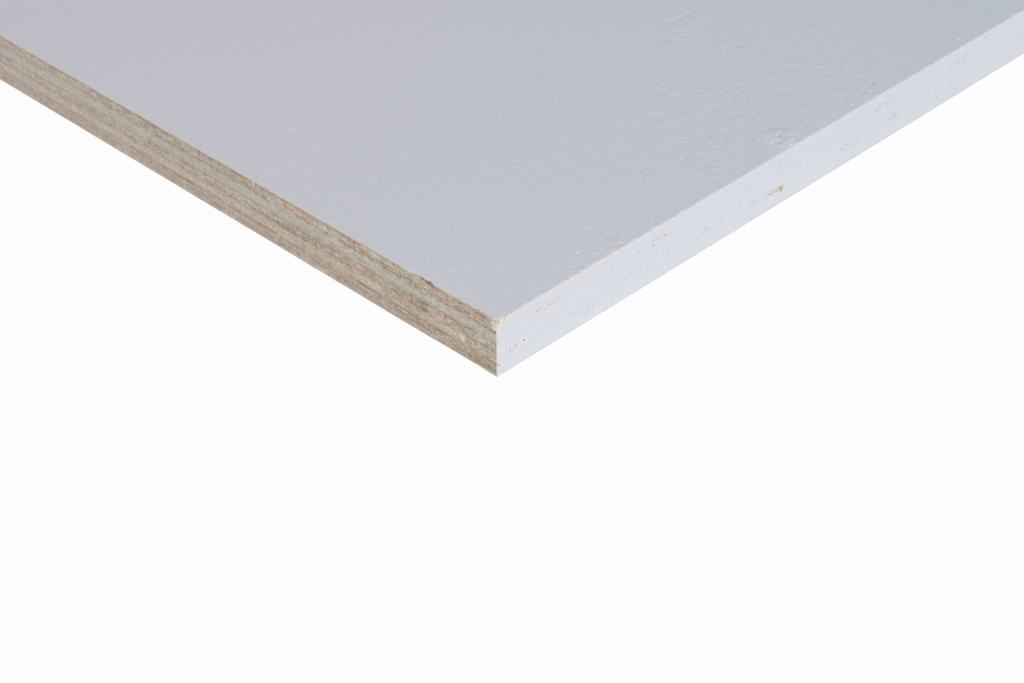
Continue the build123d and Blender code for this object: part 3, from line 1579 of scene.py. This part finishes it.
def host_of(fields: tuple[Field, ...], singles: tuple[Triple, ...],
            place: Callable[[float, float], Triple]) -> bpy.types.Object:
    """A surface of one quad for each field, and a loose point for each single piece.

    Args:
        fields: The fields.
        singles: Along, across and girth of each single piece.
        place: Turns along and across into a point in millimetres.

    Returns:
        The surface.
    """
    points = []
    for field in fields:
        (a0, a1), (b0, b1) = field.along, field.across
        points += [place(a0, b0), place(a1, b0), place(a1, b1), place(a0, b1)]
    points += [place(along, across) for along, across, _ in singles]
    mesh = bpy.data.meshes.new("host")
    faces = [tuple(range(4 * k, 4 * k + 4)) for k in range(len(fields))]
    mesh.from_pydata([tuple(v * MM for v in point) for point in points], [], faces)
    crowd = mesh.attributes.new("crowd", "FLOAT", "FACE")
    girth = mesh.attributes.new("girth", "FLOAT", "POINT")
    single = mesh.attributes.new("single", "BOOLEAN", "POINT")
    for k, field in enumerate(fields):
        crowd.data[k].value = field.crowd * CENTIMETRES_IN_METRE ** 2
        for corner in range(4):
            girth.data[4 * k + corner].value = field.girth
    for k, (_, _, size) in enumerate(singles):
        girth.data[4 * len(fields) + k].value = size
        single.data[4 * len(fields) + k].value = True
    return add_object("host", mesh)


@dataclass
class Nibs:
    """Dust and dried specks that stand on the painted face, most of them close to the long arris."""

    sheet: Sheet
    sunk: float
    seed: int = 5
    radius: Pair = (0.16, 0.34)
    height: float = 0.4
    stretch: float = 2.2
    clearance: float = 0.01
    fields: tuple[Field, ...] = (
        Field((2, 215), (0.8, 3.5), 2.2),
        Field((2, 215), (3.5, 16), 0.5),
        Field((1, 215), (16, 190), 0.04),
        Field((98.5, 107.5), (1.0, 8.5), 26.0, 1.1),
        Field((75, 91), (4, 20), 1.2, 0.8),
        Field((135, 145), (0.8, 6), 12.0, 0.9),
        Field((29, 43), (0.8, 7), 5.0),
        Field((215, 2430), (1, 30), 0.12),
        Field((215, 2430), (30, 1210), 0.012),
        Field((2, 215), (190, 1210), 0.02),
    )
    singles: tuple[Triple, ...] = (
        (71.8, 31.7, 2.0), (53.1, 3.0, 1.9), (39.4, 3.4, 1.7), (41.4, 1.9, 1.6), (31.7, 6.1, 2.0),
        (34.6, 3.0, 1.8), (48.1, 5.7, 1.7), (128.4, 2.5, 2.2), (128.7, 5.8, 1.8), (78.0, 3.7, 1.5),
        (78.1, 2.0, 1.6), (61.0, 0.8, 1.9), (29.8, 3.2, 1.6), (26.4, 3.5, 1.6), (68.2, 3.8, 1.3),
        (78.3, 15.6, 1.2),
    )

    def build(self, finish: bpy.types.Material) -> bpy.types.Object:
        """Strews the nibs.

        Args:
            finish: Their material.

        Returns:
            All of them as one object.
        """
        near_x, near_y = self.sheet.near
        top = self.sheet.thickness - self.sunk
        host = host_of(self.fields, self.singles,
                       lambda along, across: (near_x + along, near_y + across, top))
        settings = {"Smallest": self.radius[0] * MM, "Largest": self.radius[1] * MM, "Flatness": self.height,
                    "Tallest": (self.sunk - self.clearance) * MM, "Stretch": self.stretch, "Seed": self.seed,
                    "Finish": finish}
        return Strewer(Speck.NIB).strew(host, "paint_nibs", settings)


@dataclass
class TornFibres:
    """Fibres that the saw tore up on the raw end."""

    sheet: Sheet
    inset: float = 0.12
    seed: int = 9
    length: Pair = (0.5, 1.3)
    girth: float = 0.10
    stretch: float = 1.5
    fields: tuple[Field, ...] = (
        Field((3, 12), (8.2, 10.8), 70.0),
        Field((0.5, 24), (0.4, 1.4), 60.0, 0.7),
        Field((46, 60), (1.8, 4.2), 30.0),
        Field((62, 90), (8.0, 9.5), 14.0),
        Field((1, 200), (0.4, 14.4), 2.0),
        Field((200, 1218), (0.4, 14.4), 0.5),
    )

    def build(self, finish: bpy.types.Material) -> bpy.types.Object:
        """Strews the fibres.

        Args:
            finish: Their material.

        Returns:
            All of them as one object.
        """
        near_x, near_y = self.sheet.near
        host = host_of(self.fields, (), lambda along, below: (near_x + self.inset, near_y + along,
                                                              self.sheet.thickness - below))
        settings = {"Smallest": self.length[0] * MM, "Largest": self.length[1] * MM, "Flatness": self.girth,
                    "Stretch": self.stretch, "Seed": self.seed, "Finish": finish}
        return Strewer(Speck.FIBRE).strew(host, "torn_fibres", settings)


@dataclass
class PaintSliver:
    """A strip of film that the saw left hanging over the raw end."""

    sheet: Sheet
    name: str
    along: float
    length: float
    width: float
    thickness: float = 0.10
    outset: float = 0.01
    lean: float = 0.05
    under_face: float = 0.14
    taper: float = 0.85
    sway: float = 0.14
    sway_turn: float = 3.0
    rows: int = 12

    def build(self) -> bpy.types.Object:
        """Builds the strip as a closed mesh that tapers and sways to its tip.

        Returns:
            The object.
        """
        near_x, near_y = self.sheet.near
        points = []
        for row in range(self.rows + 1):
            share = row / self.rows
            half = self.width / 2 * (1 - self.taper * share ** 2)
            y = near_y + self.along + self.sway * math.sin(self.sway_turn * share)
            z = self.sheet.thickness - self.under_face - self.length * share
            x = near_x + self.outset + self.lean * share
            points += [(x, y - half, z), (x, y + half, z), (x + self.thickness, y + half, z),
                       (x + self.thickness, y - half, z)]
        faces = [(0, 1, 2, 3)]
        for row in range(self.rows):
            for side in range(4):
                a, b = 4 * row + side, 4 * row + (side + 1) % 4
                faces.append((a, b, b + 4, a + 4))
        last = 4 * self.rows
        faces.append((last + 3, last + 2, last + 1, last))
        return make_object(self.name, np.array(points), faces)


@dataclass(frozen=True)
class PaintFinish:
    """White primer, rolled on: dull, with a fine orange peel, pinholes over open pores and rough spots."""

    near: Pair
    middle: float
    levels: tuple[Pair, ...]
    swell_pitch: float = 620.0
    roughness: float = 0.52
    relief: float = 0.17
    colour: Colour = srgb(227, 228, 237)
    along_tone: Colour = srgb(215, 223, 232)
    across_tone: Colour = srgb(225, 221, 233)
    # Painted shade: the colour that pits and pinholes are darkened towards
    hollow: Colour = srgb(170, 164, 158)
    wood: Colour = srgb(241, 235, 222)
    grain: Colour = srgb(216, 192, 171)
    sliver: Colour = srgb(228, 220, 212)
    sliver_grain: Colour = srgb(196, 174, 160)
    scuff: Colour = srgb(232, 230, 228)
    rim_scuff: Colour = srgb(240, 229, 216)
    dust: Colour = srgb(206, 194, 180)
    shadow: Colour = srgb(142, 136, 132)
    # Scuffs, and painted highlights on crater rims, on the film's lip at the sawn end and on the rough
    # patches' ridges
    scuff_and_highlight: Colour = srgb(250, 249, 249)
    rough_spots: tuple[Spot, ...] = spots(
        (103.2, 5.0, 6.5, 6.0, 1.3), (82.0, 12.0, 13.0, 11.0, 0.6), (134.5, 63.5, 9.0, 8.0, 0.75),
        (124.5, 57.5, 8.0, 7.0, 0.75), (118.0, 26.0, 60.0, 34.0, 0.4), (139.0, 3.0, 8.0, 5.0, 0.9),
        (35.5, 4.0, 12.0, 6.0, 0.4),
    )
    clusters: tuple[Spot, ...] = spots(
        (17.0, 3.6, 5.0, 1.0, 0.7), (28.6, 11.4, 4.0, 2.0, 0.6), (5.5, 9.5, 4.5, 1.6, 0.5),
        (43.5, 9.0, 5.0, 1.4, 0.6), (52.8, 3.8, 5.0, 1.5, 0.7), (71.5, 9.3, 6.0, 1.4, 0.7),
        (90.0, 9.6, 4.5, 1.2, 0.6), (98.0, 3.6, 4.5, 1.2, 0.7), (125.5, 9.4, 6.0, 1.4, 0.7),
        (140.0, 3.7, 6.5, 1.4, 0.8), (145.0, 9.0, 5.0, 1.6, 0.9), (175.0, 4.0, 5.0, 1.4, 0.7),
    )

    def material(self) -> bpy.types.Material:
        """Builds the material.

        Returns:
            The material.
        """
        s = Shader("white_paint")
        edge = self.on_edge(s)
        pinholes = self.pinholes(s, edge)
        patches = self.rough_patches(s, edge)
        dashes = s.dashes(2.2, 0.75, -45.0, shift=6.6)
        # Painted shade inside the pits and pinholes
        pit_shade = (0.3 * s.attribute("pit")).maximum(0.32 * pinholes)
        coloured = self.worn(s, edge, s.blend(pit_shade, self.tone(s, edge), self.hollow))
        # Painted shade: the long edges are darkened towards their lower arris, where it turns down to the
        # floor
        coloured = s.shade(coloured, 1.0 - 0.30 * edge * s.axis("Z").between(0.65 * MM, 0.1 * MM))
        # Painted highlight: the ridges of the rough patches' relief are whitened where they would catch the
        # light
        coloured = s.blend(0.55 * patches * dashes.between(0.53, 0.63), coloured, self.scuff_and_highlight)
        peel = s.cloud((1.4, 1.4, 1.4), shift=0.4, detail=2)
        fine = s.cloud((0.8, 0.8, 0.8), shift=5.5, detail=2)
        chatter = s.cloud((1.3, 70, 30), shift=2.2, detail=1)
        relief = peel * 0.6 + fine * (0.5 + 0.5 * patches) + (1.5 * patches) * dashes + 0.2 * chatter
        height = relief * (1.0 + 0.35 * edge) - 1.0 * pinholes
        rough = self.roughness + 0.1 * s.cloud((9, 7, 5), shift=6.1)
        return s.surface(coloured, rough, s.bump(height, self.relief), IOR=PAINT_IOR)

    def tone(self, s: Shader, edge: Number) -> Link:
        """The clean coat, a little cooler along the sheet and pinker across it.

        Args:
            s: The material's tree.
            edge: The mask of the long edges.

        Returns:
            The colour.
        """
        cooler = s.swell("X", self.near[0], self.swell_pitch) * (1.0 - 0.75 * edge)
        pinker = s.swell("Y", self.near[1], self.swell_pitch) * (1.0 - edge)
        tone = s.blend(pinker, s.blend(cooler, self.colour, self.along_tone), self.across_tone)
        broad = s.cloud((260, 180, 60), shift=3.1, detail=2)
        mottle = s.cloud((2.2, 2.2, 2.0), shift=4.1, detail=3, rough=0.6)
        return s.shade(tone, 0.975 + 0.02 * broad + 0.03 * mottle)

    def worn(self, s: Shader, edge: Number, clean: object) -> Link:
        """Lays the scuffs, light marks that are scuffs and painted highlights, dark marks of painted shade,
        bare wood and smeared dust over the coat.

        Args:
            s: The material's tree.
            edge: The mask of the long edges.
            clean: The coat's own colour.

        Returns:
            The colour.
        """
        fibres = s.cloud((0.5, 0.5, 1.5), shift=1.3, detail=3, rough=0.65)
        light = s.attribute("light")
        coloured = s.blend(self.worn_arris(s) * fibres.between(0.46, 0.62), clean, self.scuff)
        # Light marks: scuffs, and painted highlights on the crater rims and along the film's lip at the sawn
        # end
        coloured = s.blend(light, coloured, self.scuff_and_highlight)
        scuffed = s.attribute("rim") * (0.55 + 0.7 * fibres)
        coloured = s.blend(scuffed, coloured, s.blend(edge, self.rim_scuff, self.scuff))
        coloured = s.blend(s.attribute("bare").between(0.3, 0.6), coloured, self.bare_wood(s, fibres))
        coloured = s.blend(s.attribute("dark"), coloured, self.shadow)
        smeared = (s.attribute("smear") + 1.3 * fibres - 0.5 * light).between(0.95, 1.4)
        return s.blend(smeared, coloured, self.dust)

    def bare_wood(self, s: Shader, fibres: Number) -> Link:
        """The wood that shows at the worn corner, and the greyer sliver of it further along the edge.

        Args:
            s: The material's tree.
            fibres: The pattern of its fibres.

        Returns:
            The colour.
        """
        high = s.axis("Z").between((2 * self.middle - 1.4) * MM, (2 * self.middle - 0.5) * MM)
        wood = s.blend((0.7 * (fibres + 0.04 * high)).between(0.378, 0.434), self.wood, self.grain)
        sliver = s.blend(0.95 * fibres.between(0.48, 0.58), self.sliver, self.sliver_grain)
        inland = s.axis("X").between((self.near[0] + 20) * MM, (self.near[0] + 30) * MM)
        return s.blend(inland, wood, sliver)

    def rough_patches(self, s: Shader, edge: Number) -> Number:
        """Where the face is rougher.

        Args:
            s: The material's tree.
            edge: The mask of the long edges, which have none.

        Returns:
            How rough it is.
        """
        patches = s.cloud((34, 26, 20), shift=8.4, detail=2).between(0.50, 0.70) * 0.25
        for spot in self.rough_spots:
            oval = s.oval(X=(self.near[0] + spot.along, spot.reach_along),
                          Y=(self.near[1] + spot.below, spot.reach_below))
            patches = patches.maximum(oval * spot.amount)
        broken = s.cloud((6, 5, 5), shift=12.4, detail=3, rough=0.6).between(0.36, 0.62)
        return patches * broken * (1.0 - edge)

    def worn_arris(self, s: Shader) -> Number:
        """Where handling has scuffed the front arris, most of all close to the corner.

        Args:
            s: The material's tree.

        Returns:
            A mask.
        """
        high = s.axis("Z").between((2 * self.middle - 1.3) * MM, (2 * self.middle - 0.4) * MM)
        front = s.axis("Y").between((self.near[1] + 1.0) * MM, (self.near[1] + 0.5) * MM)
        close = s.axis("X").between((self.near[0] + 90.0) * MM, (self.near[0] + 5.0) * MM)
        lumps = s.cloud((3.2, 3.2, 3.2), shift=15.2, detail=3).between(0.46, 0.60)
        return high * front * lumps * (0.3 + 0.6 * close)

    def on_edge(self, s: Shader) -> Number:
        """A mask of the two long edges."""
        return abs(s.axis("Y")).between((-self.near[1] - 0.5) * MM, (-self.near[1] - 0.2) * MM)

    def pinholes(self, s: Shader, edge: Number) -> Number:
        """Pinholes that the paint left over the crossbands' open pores, on the long edges alone.

        Args:
            s: The material's tree.
            edge: The mask of the long edges.

        Returns:
            A mask.
        """
        place = s.axis("Z")
        bands = None
        for low, high in self.levels:
            middle, half = (low + high) / 2 * MM, (high - low) / 2 * MM
            band = abs(place - middle).between(half * 1.25, half * 0.55)
            bands = band if bands is None else bands.maximum(band)
        crowd = s.cloud((7, 50, 2.6), shift=7.7, detail=2).between(0.56, 0.70)
        stray = s.cloud((16, 50, 9), shift=9.9, detail=2).between(0.60, 0.72)
        groups = (0.7 * bands * crowd).maximum(0.5 * stray)
        thickness = 2 * self.middle
        for spot in self.clusters:
            oval = s.oval(X=(self.near[0] + spot.along, spot.reach_along), Y=(self.near[1], 2.0),
                          Z=(thickness - spot.below, spot.reach_below))
            groups = groups.maximum(oval * spot.amount)
        holes = s.cells((0.85, 50, 0.62), shift=3.3).between(0.36, 0.14)
        return holes * edge * groups


@dataclass(frozen=True)
class SpeckFinish:
    """Dried specks of primer that stand on the face, painted whiter than the coat as a painted highlight for
    the light they catch.
    """

    # Painted highlight: whiter than the coat, for the light that the specks catch
    colour: Colour = srgb(243, 245, 252)
    shaded: Colour = srgb(212, 213, 222)

    def material(self) -> bpy.types.Material:
        """Builds the material.

        Returns:
            The material.
        """
        s = Shader("paint_specks")
        grains = s.cloud((0.3, 0.3, 0.3), shift=4.4, detail=2)
        colour = s.blend(grains.between(0.35, 0.7), self.colour, self.shaded)
        return s.surface(colour, 0.6 + 0.1 * grains, s.bump(grains, 0.03), IOR=PAINT_IOR)


class Grain(Enum):
    """Which way a veneer's grain runs."""

    ALONG = "long_grain_veneer"
    ACROSS = "cross_grain_veneer"


@dataclass(frozen=True)
class VeneerFinish:
    """Raw veneer as its sawn end shows it: mottled, with blotches, fine scratches and darker glue lines."""

    sheet: Sheet
    name: str
    grain: Grain
    body: Colour
    stain: Colour
    pale: Colour
    shift: float
    stain_amount: float = 0.7
    pale_amount: float = 0.4
    lower_glue: float = 0.3
    upper_glue: float = 0.3
    contrast: float = 1.2
    grey_amount: float = 0.6
    grey: Colour = srgb(219, 205, 195)
    light: Colour = srgb(234, 227, 210)
    # Painted shade in the notch, where the film's rim is bitten off over the face veneer
    deep: Colour = srgb(118, 88, 66)
    warm: Colour = srgb(214, 168, 136)
    cool: Colour = srgb(204, 200, 180)
    tint: float = 0.4
    below: Colour | None = None
    above: Colour | None = None
    lower_shift: float = 0.0
    upper_shift: float = 0.0
    pale_spots: tuple[Spot, ...] = ()
    # Spots of painted shade in the notch
    notch_shade_spots: tuple[Spot, ...] = ()
    drift_pitch: float = 380.0
    roughness: float = 0.85
    relief: float = 0.13

    def material(self) -> bpy.types.Material:
        """Builds the material.

        Returns:
            The material.
        """
        s = Shader(self.name)
        shift = self.shift
        greyed = s.swell("Y", self.sheet.near[1], self.drift_pitch)
        colour = self.wavy_joints(s, self.patchwork(s))
        colour = s.blend(self.grey_amount * greyed, colour, self.grey)
        streak = s.cloud((60, 12, 0.8), shift=shift, detail=4, rough=0.65, warp=1.2).between(0.34, 0.66)
        mottle = s.cloud((30, 1.6, 0.7), shift=shift + 2, detail=4, rough=0.7, warp=0.6).between(0.34, 0.66)
        grit = s.cloud((6, 0.62, 0.5), shift=shift + 3, detail=3, rough=0.75, warp=0.2).between(0.32, 0.68)
        hatch = s.cloud((30, 0.42, 7), shift=shift + 8, detail=1, warp=0.3).between(0.34, 0.66)
        play = 0.22 * streak + 0.32 * mottle + 0.20 * grit + 0.07 * hatch - 0.405
        light = 1.0 + (self.contrast * play) * (1.0 - 0.40 * greyed)
        pores = s.cells((30, 0.55, 0.42), shift=shift + 6).between(0.30, 0.12)
        crack = s.cloud((30, 3.5, 0.35), shift=shift + 5, detail=3, warp=1.0).between(0.63, 0.74)
        dark = (0.26 * pores).maximum(0.26 * crack).maximum(self.glue_lines(s))
        colour = s.shade(colour, light * (1.0 - dark))
        for spot in self.pale_spots:
            ragged = s.cloud((30, 0.8, 0.45), shift=shift + 11, detail=3, rough=0.65, warp=1.0)
            patch = self.oval(s, spot) * ragged.between(0.40, 0.56) * spot.amount
            colour = s.blend(patch, colour, s.shade(self.light, 0.6 + 0.4 * light))
        height = 0.35 * streak + 0.5 * mottle + 0.5 * grit + 0.2 * hatch - 0.8 * dark
        return s.surface(colour, self.roughness, s.bump(height, self.relief), IOR=WOOD_IOR)

    def patchwork(self, s: Shader) -> Link:
        """The veneer's own colour with its stains, pale washes, and warm and cool flecks, and painted shade
        in the notch.

        Args:
            s: The material's tree.

        Returns:
            The colour.
        """
        shift = self.shift
        blotch = s.cloud((200, 7.5, 2.2), shift=shift + 4, detail=4, rough=0.65, warp=0.6)
        colour = s.blend(self.stain_amount * blotch.between(0.47, 0.64), self.body, self.stain)
        wash = s.cloud((200, 6, 1.6), shift=shift + 9, detail=4, rough=0.65, warp=0.6)
        colour = s.blend(self.pale_amount * wash.between(0.50, 0.66), colour, self.pale)
        # Painted shade in the notch
        for spot in self.notch_shade_spots:
            colour = s.blend(self.oval(s, spot) * spot.amount, colour, self.deep)
        for apart, tint in ((15, self.warm), (18, self.cool)):
            flecks = s.cloud((30, 1.3, 0.6), shift=shift + apart, detail=3, rough=0.7, warp=0.3)
            colour = s.blend(self.tint * flecks.between(0.50, 0.64), colour, tint)
        return colour

    def oval(self, s: Shader, spot: Spot) -> Number:
        """A mask of one spot of the sawn end."""
        return s.oval(Y=(self.sheet.near[1] + spot.along, spot.reach_along),
                      Z=(self.sheet.thickness - spot.below, spot.reach_below))

    def wavy_joints(self, s: Shader, colour: object) -> Link:
        """Lets the next veneers' colours wander over the joints, so that no joint is a ruled line.

        Args:
            s: The material's tree.
            colour: The veneer's own colour.

        Returns:
            The colour with both joints softened.
        """
        low, high = self.sheet.levels[self.name]
        for level, other, apart, shift in ((low, self.below, 22.0, self.lower_shift),
                                           (high, self.above, 25.0, self.upper_shift)):
            if other is None:
                continue
            wave = s.cloud((50, 3.2, 50), shift=self.shift + apart, detail=3, rough=0.65)
            reach = (wave + (shift - 0.38)) * MM
            mask = ((reach - abs(s.axis("Z") - level * MM)) / (0.16 * MM)).between(-1.0, 1.0)
            colour = s.blend(mask, colour, other)
        return colour

    def glue_lines(self, s: Shader) -> Number:
        """Darker lines where the veneer meets the next, broken and of uneven width.

        Args:
            s: The material's tree.

        Returns:
            How dark they are.
        """
        low, high = self.sheet.levels[self.name]
        z = s.axis("Z")
        wave = s.cloud((50, 6, 50), shift=self.shift + 1, detail=4, rough=0.65)
        inset = 0.75 * wave * MM
        width = (0.16 + 0.5 * wave) * MM
        broken = s.cloud((50, 5, 50), shift=self.shift + 7, detail=3, rough=0.6).between(0.34, 0.62)
        bottom = (abs(z - low * MM - inset) / width).between(1.0, 0.0) * self.lower_glue
        top = (abs(high * MM - z - inset) / width).between(1.0, 0.0) * self.upper_glue
        return bottom.maximum(top) * broken


@dataclass
class Studio:
    """Pale floor, soft light and the camera that the photograph was taken with.

    The camera's angles are in degrees, its other sizes in pixels or millimetres, and the light's in metres.
    """

    sheet: Sheet
    azimuth: float = -45.528
    elevation: float = 36.310
    focal_pixels: float = 1973.7
    corner_pixel: Pair = (497.06, 321.95)
    corner_depth: float = 418.5
    frame_pixels: Pair = (1024.0, 683.0)
    sensor: float = 36.0
    floor_half: float = 30.0
    floor_white: float = 0.95
    fill: float = 0.45
    key_from_corner: Triple = (-1.25, -2.24, 1.56)
    key_size: Pair = (1.5, 1.2)
    key_power: float = 51.2
    key_tint: Triple = (1.0, 1.01, 0.958)

    def camera(self) -> None:
        """Places the camera so that the near corner falls on its pixel."""
        turn, lift = math.radians(self.azimuth), math.radians(self.elevation)
        back = Vector((math.sin(turn) * math.cos(lift), -math.cos(turn) * math.cos(lift), math.sin(lift)))
        right = (-back).cross(Vector((0, 0, 1))).normalized()
        down = (-back).cross(right)
        across = (self.corner_pixel[0] - self.frame_pixels[0] / 2) / self.focal_pixels
        below = (self.corner_pixel[1] - self.frame_pixels[1] / 2) / self.focal_pixels
        ray = right * across + down * below - back
        corner = Vector((*self.sheet.near, self.sheet.thickness))
        lens = bpy.data.cameras.new("camera")
        lens.sensor_width = self.sensor
        lens.lens = self.focal_pixels / self.frame_pixels[0] * self.sensor
        lens.clip_start = 0.01
        lens.clip_end = 100.0
        made = add_object("camera", lens)
        rotation = Matrix((right, -down, back)).transposed().to_4x4()
        made.matrix_world = Matrix.Translation((corner - ray * self.corner_depth) * MM) @ rotation
        bpy.context.scene.camera = made

    def floor(self) -> None:
        """A large pale floor, white to the camera, that keeps a soft shadow of the sheet."""
        size = self.floor_half
        mesh = bpy.data.meshes.new("floor")
        corners = [(-size, -size, 0), (size, -size, 0), (size, size, 0), (-size, size, 0)]
        mesh.from_pydata(corners, [], [(0, 1, 2, 3)])
        made = add_object("floor", mesh)
        s = Shader("floor")
        plain = s.node("ShaderNodeBsdfDiffuse", None, {"Color": (0.8, 0.8, 0.8, 1)})
        bright = s.node("ShaderNodeEmission", None, {"Color": (1, 1, 1, 1), "Strength": 1.0})
        rays = s.node("ShaderNodeLightPath")
        seen = s.number(rays, "Is Camera Ray").maximum(s.number(rays, "Is Glossy Ray"))
        seen = seen.maximum(s.number(rays, "Is Transmission Ray"))
        mixed = s.node("ShaderNodeMixShader", None,
                       {0: self.floor_white * seen, 1: plain.outputs[0], 2: bright.outputs[0]})
        s.node("ShaderNodeOutputMaterial", None, {"Surface": mixed.outputs[0]})
        mesh.materials.append(s.material)

    def softbox(self, name: str, place: Triple, aim: Triple) -> None:
        """Hangs one rectangular light of the key's size, power and tint.

        Args:
            name: The light's name.
            place: Where it hangs, in metres.
            aim: The point that it faces, in metres.
        """
        lamp = bpy.data.lights.new(name, "AREA")
        lamp.shape = "RECTANGLE"
        lamp.size, lamp.size_y = self.key_size
        lamp.energy = self.key_power
        lamp.color = self.key_tint
        made = add_object(name, lamp)
        made.location = place
        facing = Vector(place) - Vector(aim)
        made.rotation_euler = facing.to_track_quat("Z", "Y").to_euler()

    def world(self) -> None:
        """A plain grey room, white where the camera sees it."""
        world = bpy.data.worlds.new("studio")
        world.use_nodes = True
        bpy.context.scene.world = world
        b = Builder(world.node_tree)
        world.node_tree.nodes.clear()
        rays = b.node("ShaderNodeLightPath")
        seen = b.number(rays, "Is Camera Ray")
        strength = self.fill + (1.0 - self.fill) * seen
        light = b.node("ShaderNodeBackground", None, {"Color": (0.97, 0.98, 1.0, 1), "Strength": strength})
        b.node("ShaderNodeOutputWorld", None, {"Surface": light.outputs[0]})

    def build(self) -> None:
        """Builds the whole studio."""
        self.camera()
        self.floor()
        self.world()
        x, y = (value * MM for value in self.sheet.near)
        right, front, up = self.key_from_corner
        self.softbox("key", (x + right, y + front, up), (x, y, 0.0))
        bpy.context.scene.view_settings.view_transform = "Standard"


@dataclass(frozen=True)
class LayUp:
    """The finishes of the five veneers, from the face down, and the dusty colour of the film below them."""

    sheet: Sheet
    dusty_paint: Colour = srgb(208, 204, 196)

    def finishes(self) -> list[VeneerFinish]:
        """Gives each veneer its finish, and its neighbours' colours for the joints.

        Returns:
            The finishes from the face down.
        """
        made = [
            VeneerFinish(
                self.sheet, "face_veneer", Grain.ALONG, srgb(211, 191, 176), srgb(204, 168, 142),
                srgb(216, 208, 192), 1.0, 0.9, 0.6, 0.20, 0.30, contrast=1.6, lower_shift=0.18,
                light=srgb(248, 241, 226),
                pale_spots=spots((54.0, 1.9, 7.0, 1.2, 0.7), (73.0, 2.2, 4.0, 1.0, 0.5),
                                 (0.9, 1.5, 1.1, 1.9, 3.5), (33.0, 1.1, 14.0, 0.8, 0.6),
                                 (9.0, 1.2, 5.0, 0.7, 0.5)),
                # Painted shade in the notch under the film's bitten rim
                notch_shade_spots=spots((23.3, 0.7, 1.0, 0.5, 0.6), (21.5, 0.5, 1.7, 0.5, 0.65)),
            ),
            VeneerFinish(
                self.sheet, "upper_crossband", Grain.ACROSS, srgb(217, 211, 199), srgb(216, 199, 182),
                srgb(210, 214, 203), 14.0, 0.5, 0.5, 0.05, 0.05, contrast=0.8, grey_amount=0.3,
                grey=srgb(222, 212, 203), tint=0.15, lower_shift=0.14, upper_shift=-0.14,
            ),
            VeneerFinish(
                self.sheet, "core_veneer", Grain.ALONG, srgb(209, 190, 174), srgb(196, 164, 140),
                srgb(212, 200, 186), 31.0, 0.9, 0.5, 0.16, 0.16, contrast=1.6, grey_amount=0.75,
                grey=srgb(217, 205, 199), upper_shift=-0.14,
                pale_spots=spots((88.0, 6.9, 24.0, 0.8, 0.7), (4.0, 7.6, 7.0, 2.0, 0.7)),
            ),
            VeneerFinish(
                self.sheet, "lower_crossband", Grain.ACROSS, srgb(228, 212, 194), srgb(214, 189, 168),
                srgb(220, 212, 200), 47.0, 0.5, 0.5, 0.06, 0.08, contrast=1.0, grey_amount=0.5,
                grey=srgb(224, 210, 202), tint=0.25,
                pale_spots=spots((7.5, 9.8, 4.5, 1.5, 0.9), (86.0, 10.0, 5.0, 1.0, 0.8),
                                 (50.0, 9.6, 2.0, 0.8, 0.7)),
            ),
            VeneerFinish(
                self.sheet, "back_veneer", Grain.ALONG, srgb(211, 191, 175), srgb(204, 172, 150),
                srgb(206, 196, 184), 62.0, 0.8, 0.5, 0.04, 0.30, contrast=1.3, grey=srgb(214, 202, 192),
                lower_shift=0.40,
            ),
        ]
        bodies = [None] + [finish.body for finish in made] + [self.dusty_paint]
        return [replace(finish, above=bodies[k], below=bodies[k + 2]) for k, finish in enumerate(made)]


def main() -> None:
    """Builds the sheet and its studio."""
    logging.basicConfig(level=logging.INFO, format="%(message)s")
    sheet = Sheet.from_frame()
    LOG.info("sheet %.0f x %.0f x %.1f mm, film %.2f, arris %.2f", sheet.length, sheet.width, sheet.thickness,
             sheet.film, sheet.arris)
    ends = SawnEnds(sheet)
    Studio(sheet).build()
    coat = PaintCoat(sheet, ends)
    paints = ("face_paint", "back_paint", "front_edge_paint", "rear_edge_paint")
    crossbands = (sheet.levels["upper_crossband"], sheet.levels["lower_crossband"])
    film = coat.build()
    paint = PaintFinish(sheet.near, sheet.thickness / 2, crossbands).material()
    dress(film, paint, paints)
    for finish in LayUp(sheet).finishes():
        ply = Veneer(sheet, ends, finish.name).build()
        material = finish.material()
        dress(ply, material, (finish.name,))
        if finish.name == "lower_crossband":
            dress(TornFibres(sheet).build(material), material)
    specks = SpeckFinish().material()
    dress(Nibs(sheet, coat.sunk).build(specks), specks)
    dress(PaintSliver(sheet, "hanging_sliver", 81.0, 2.3, 0.5).build(), paint)


if __name__ == "__main__":
    main()
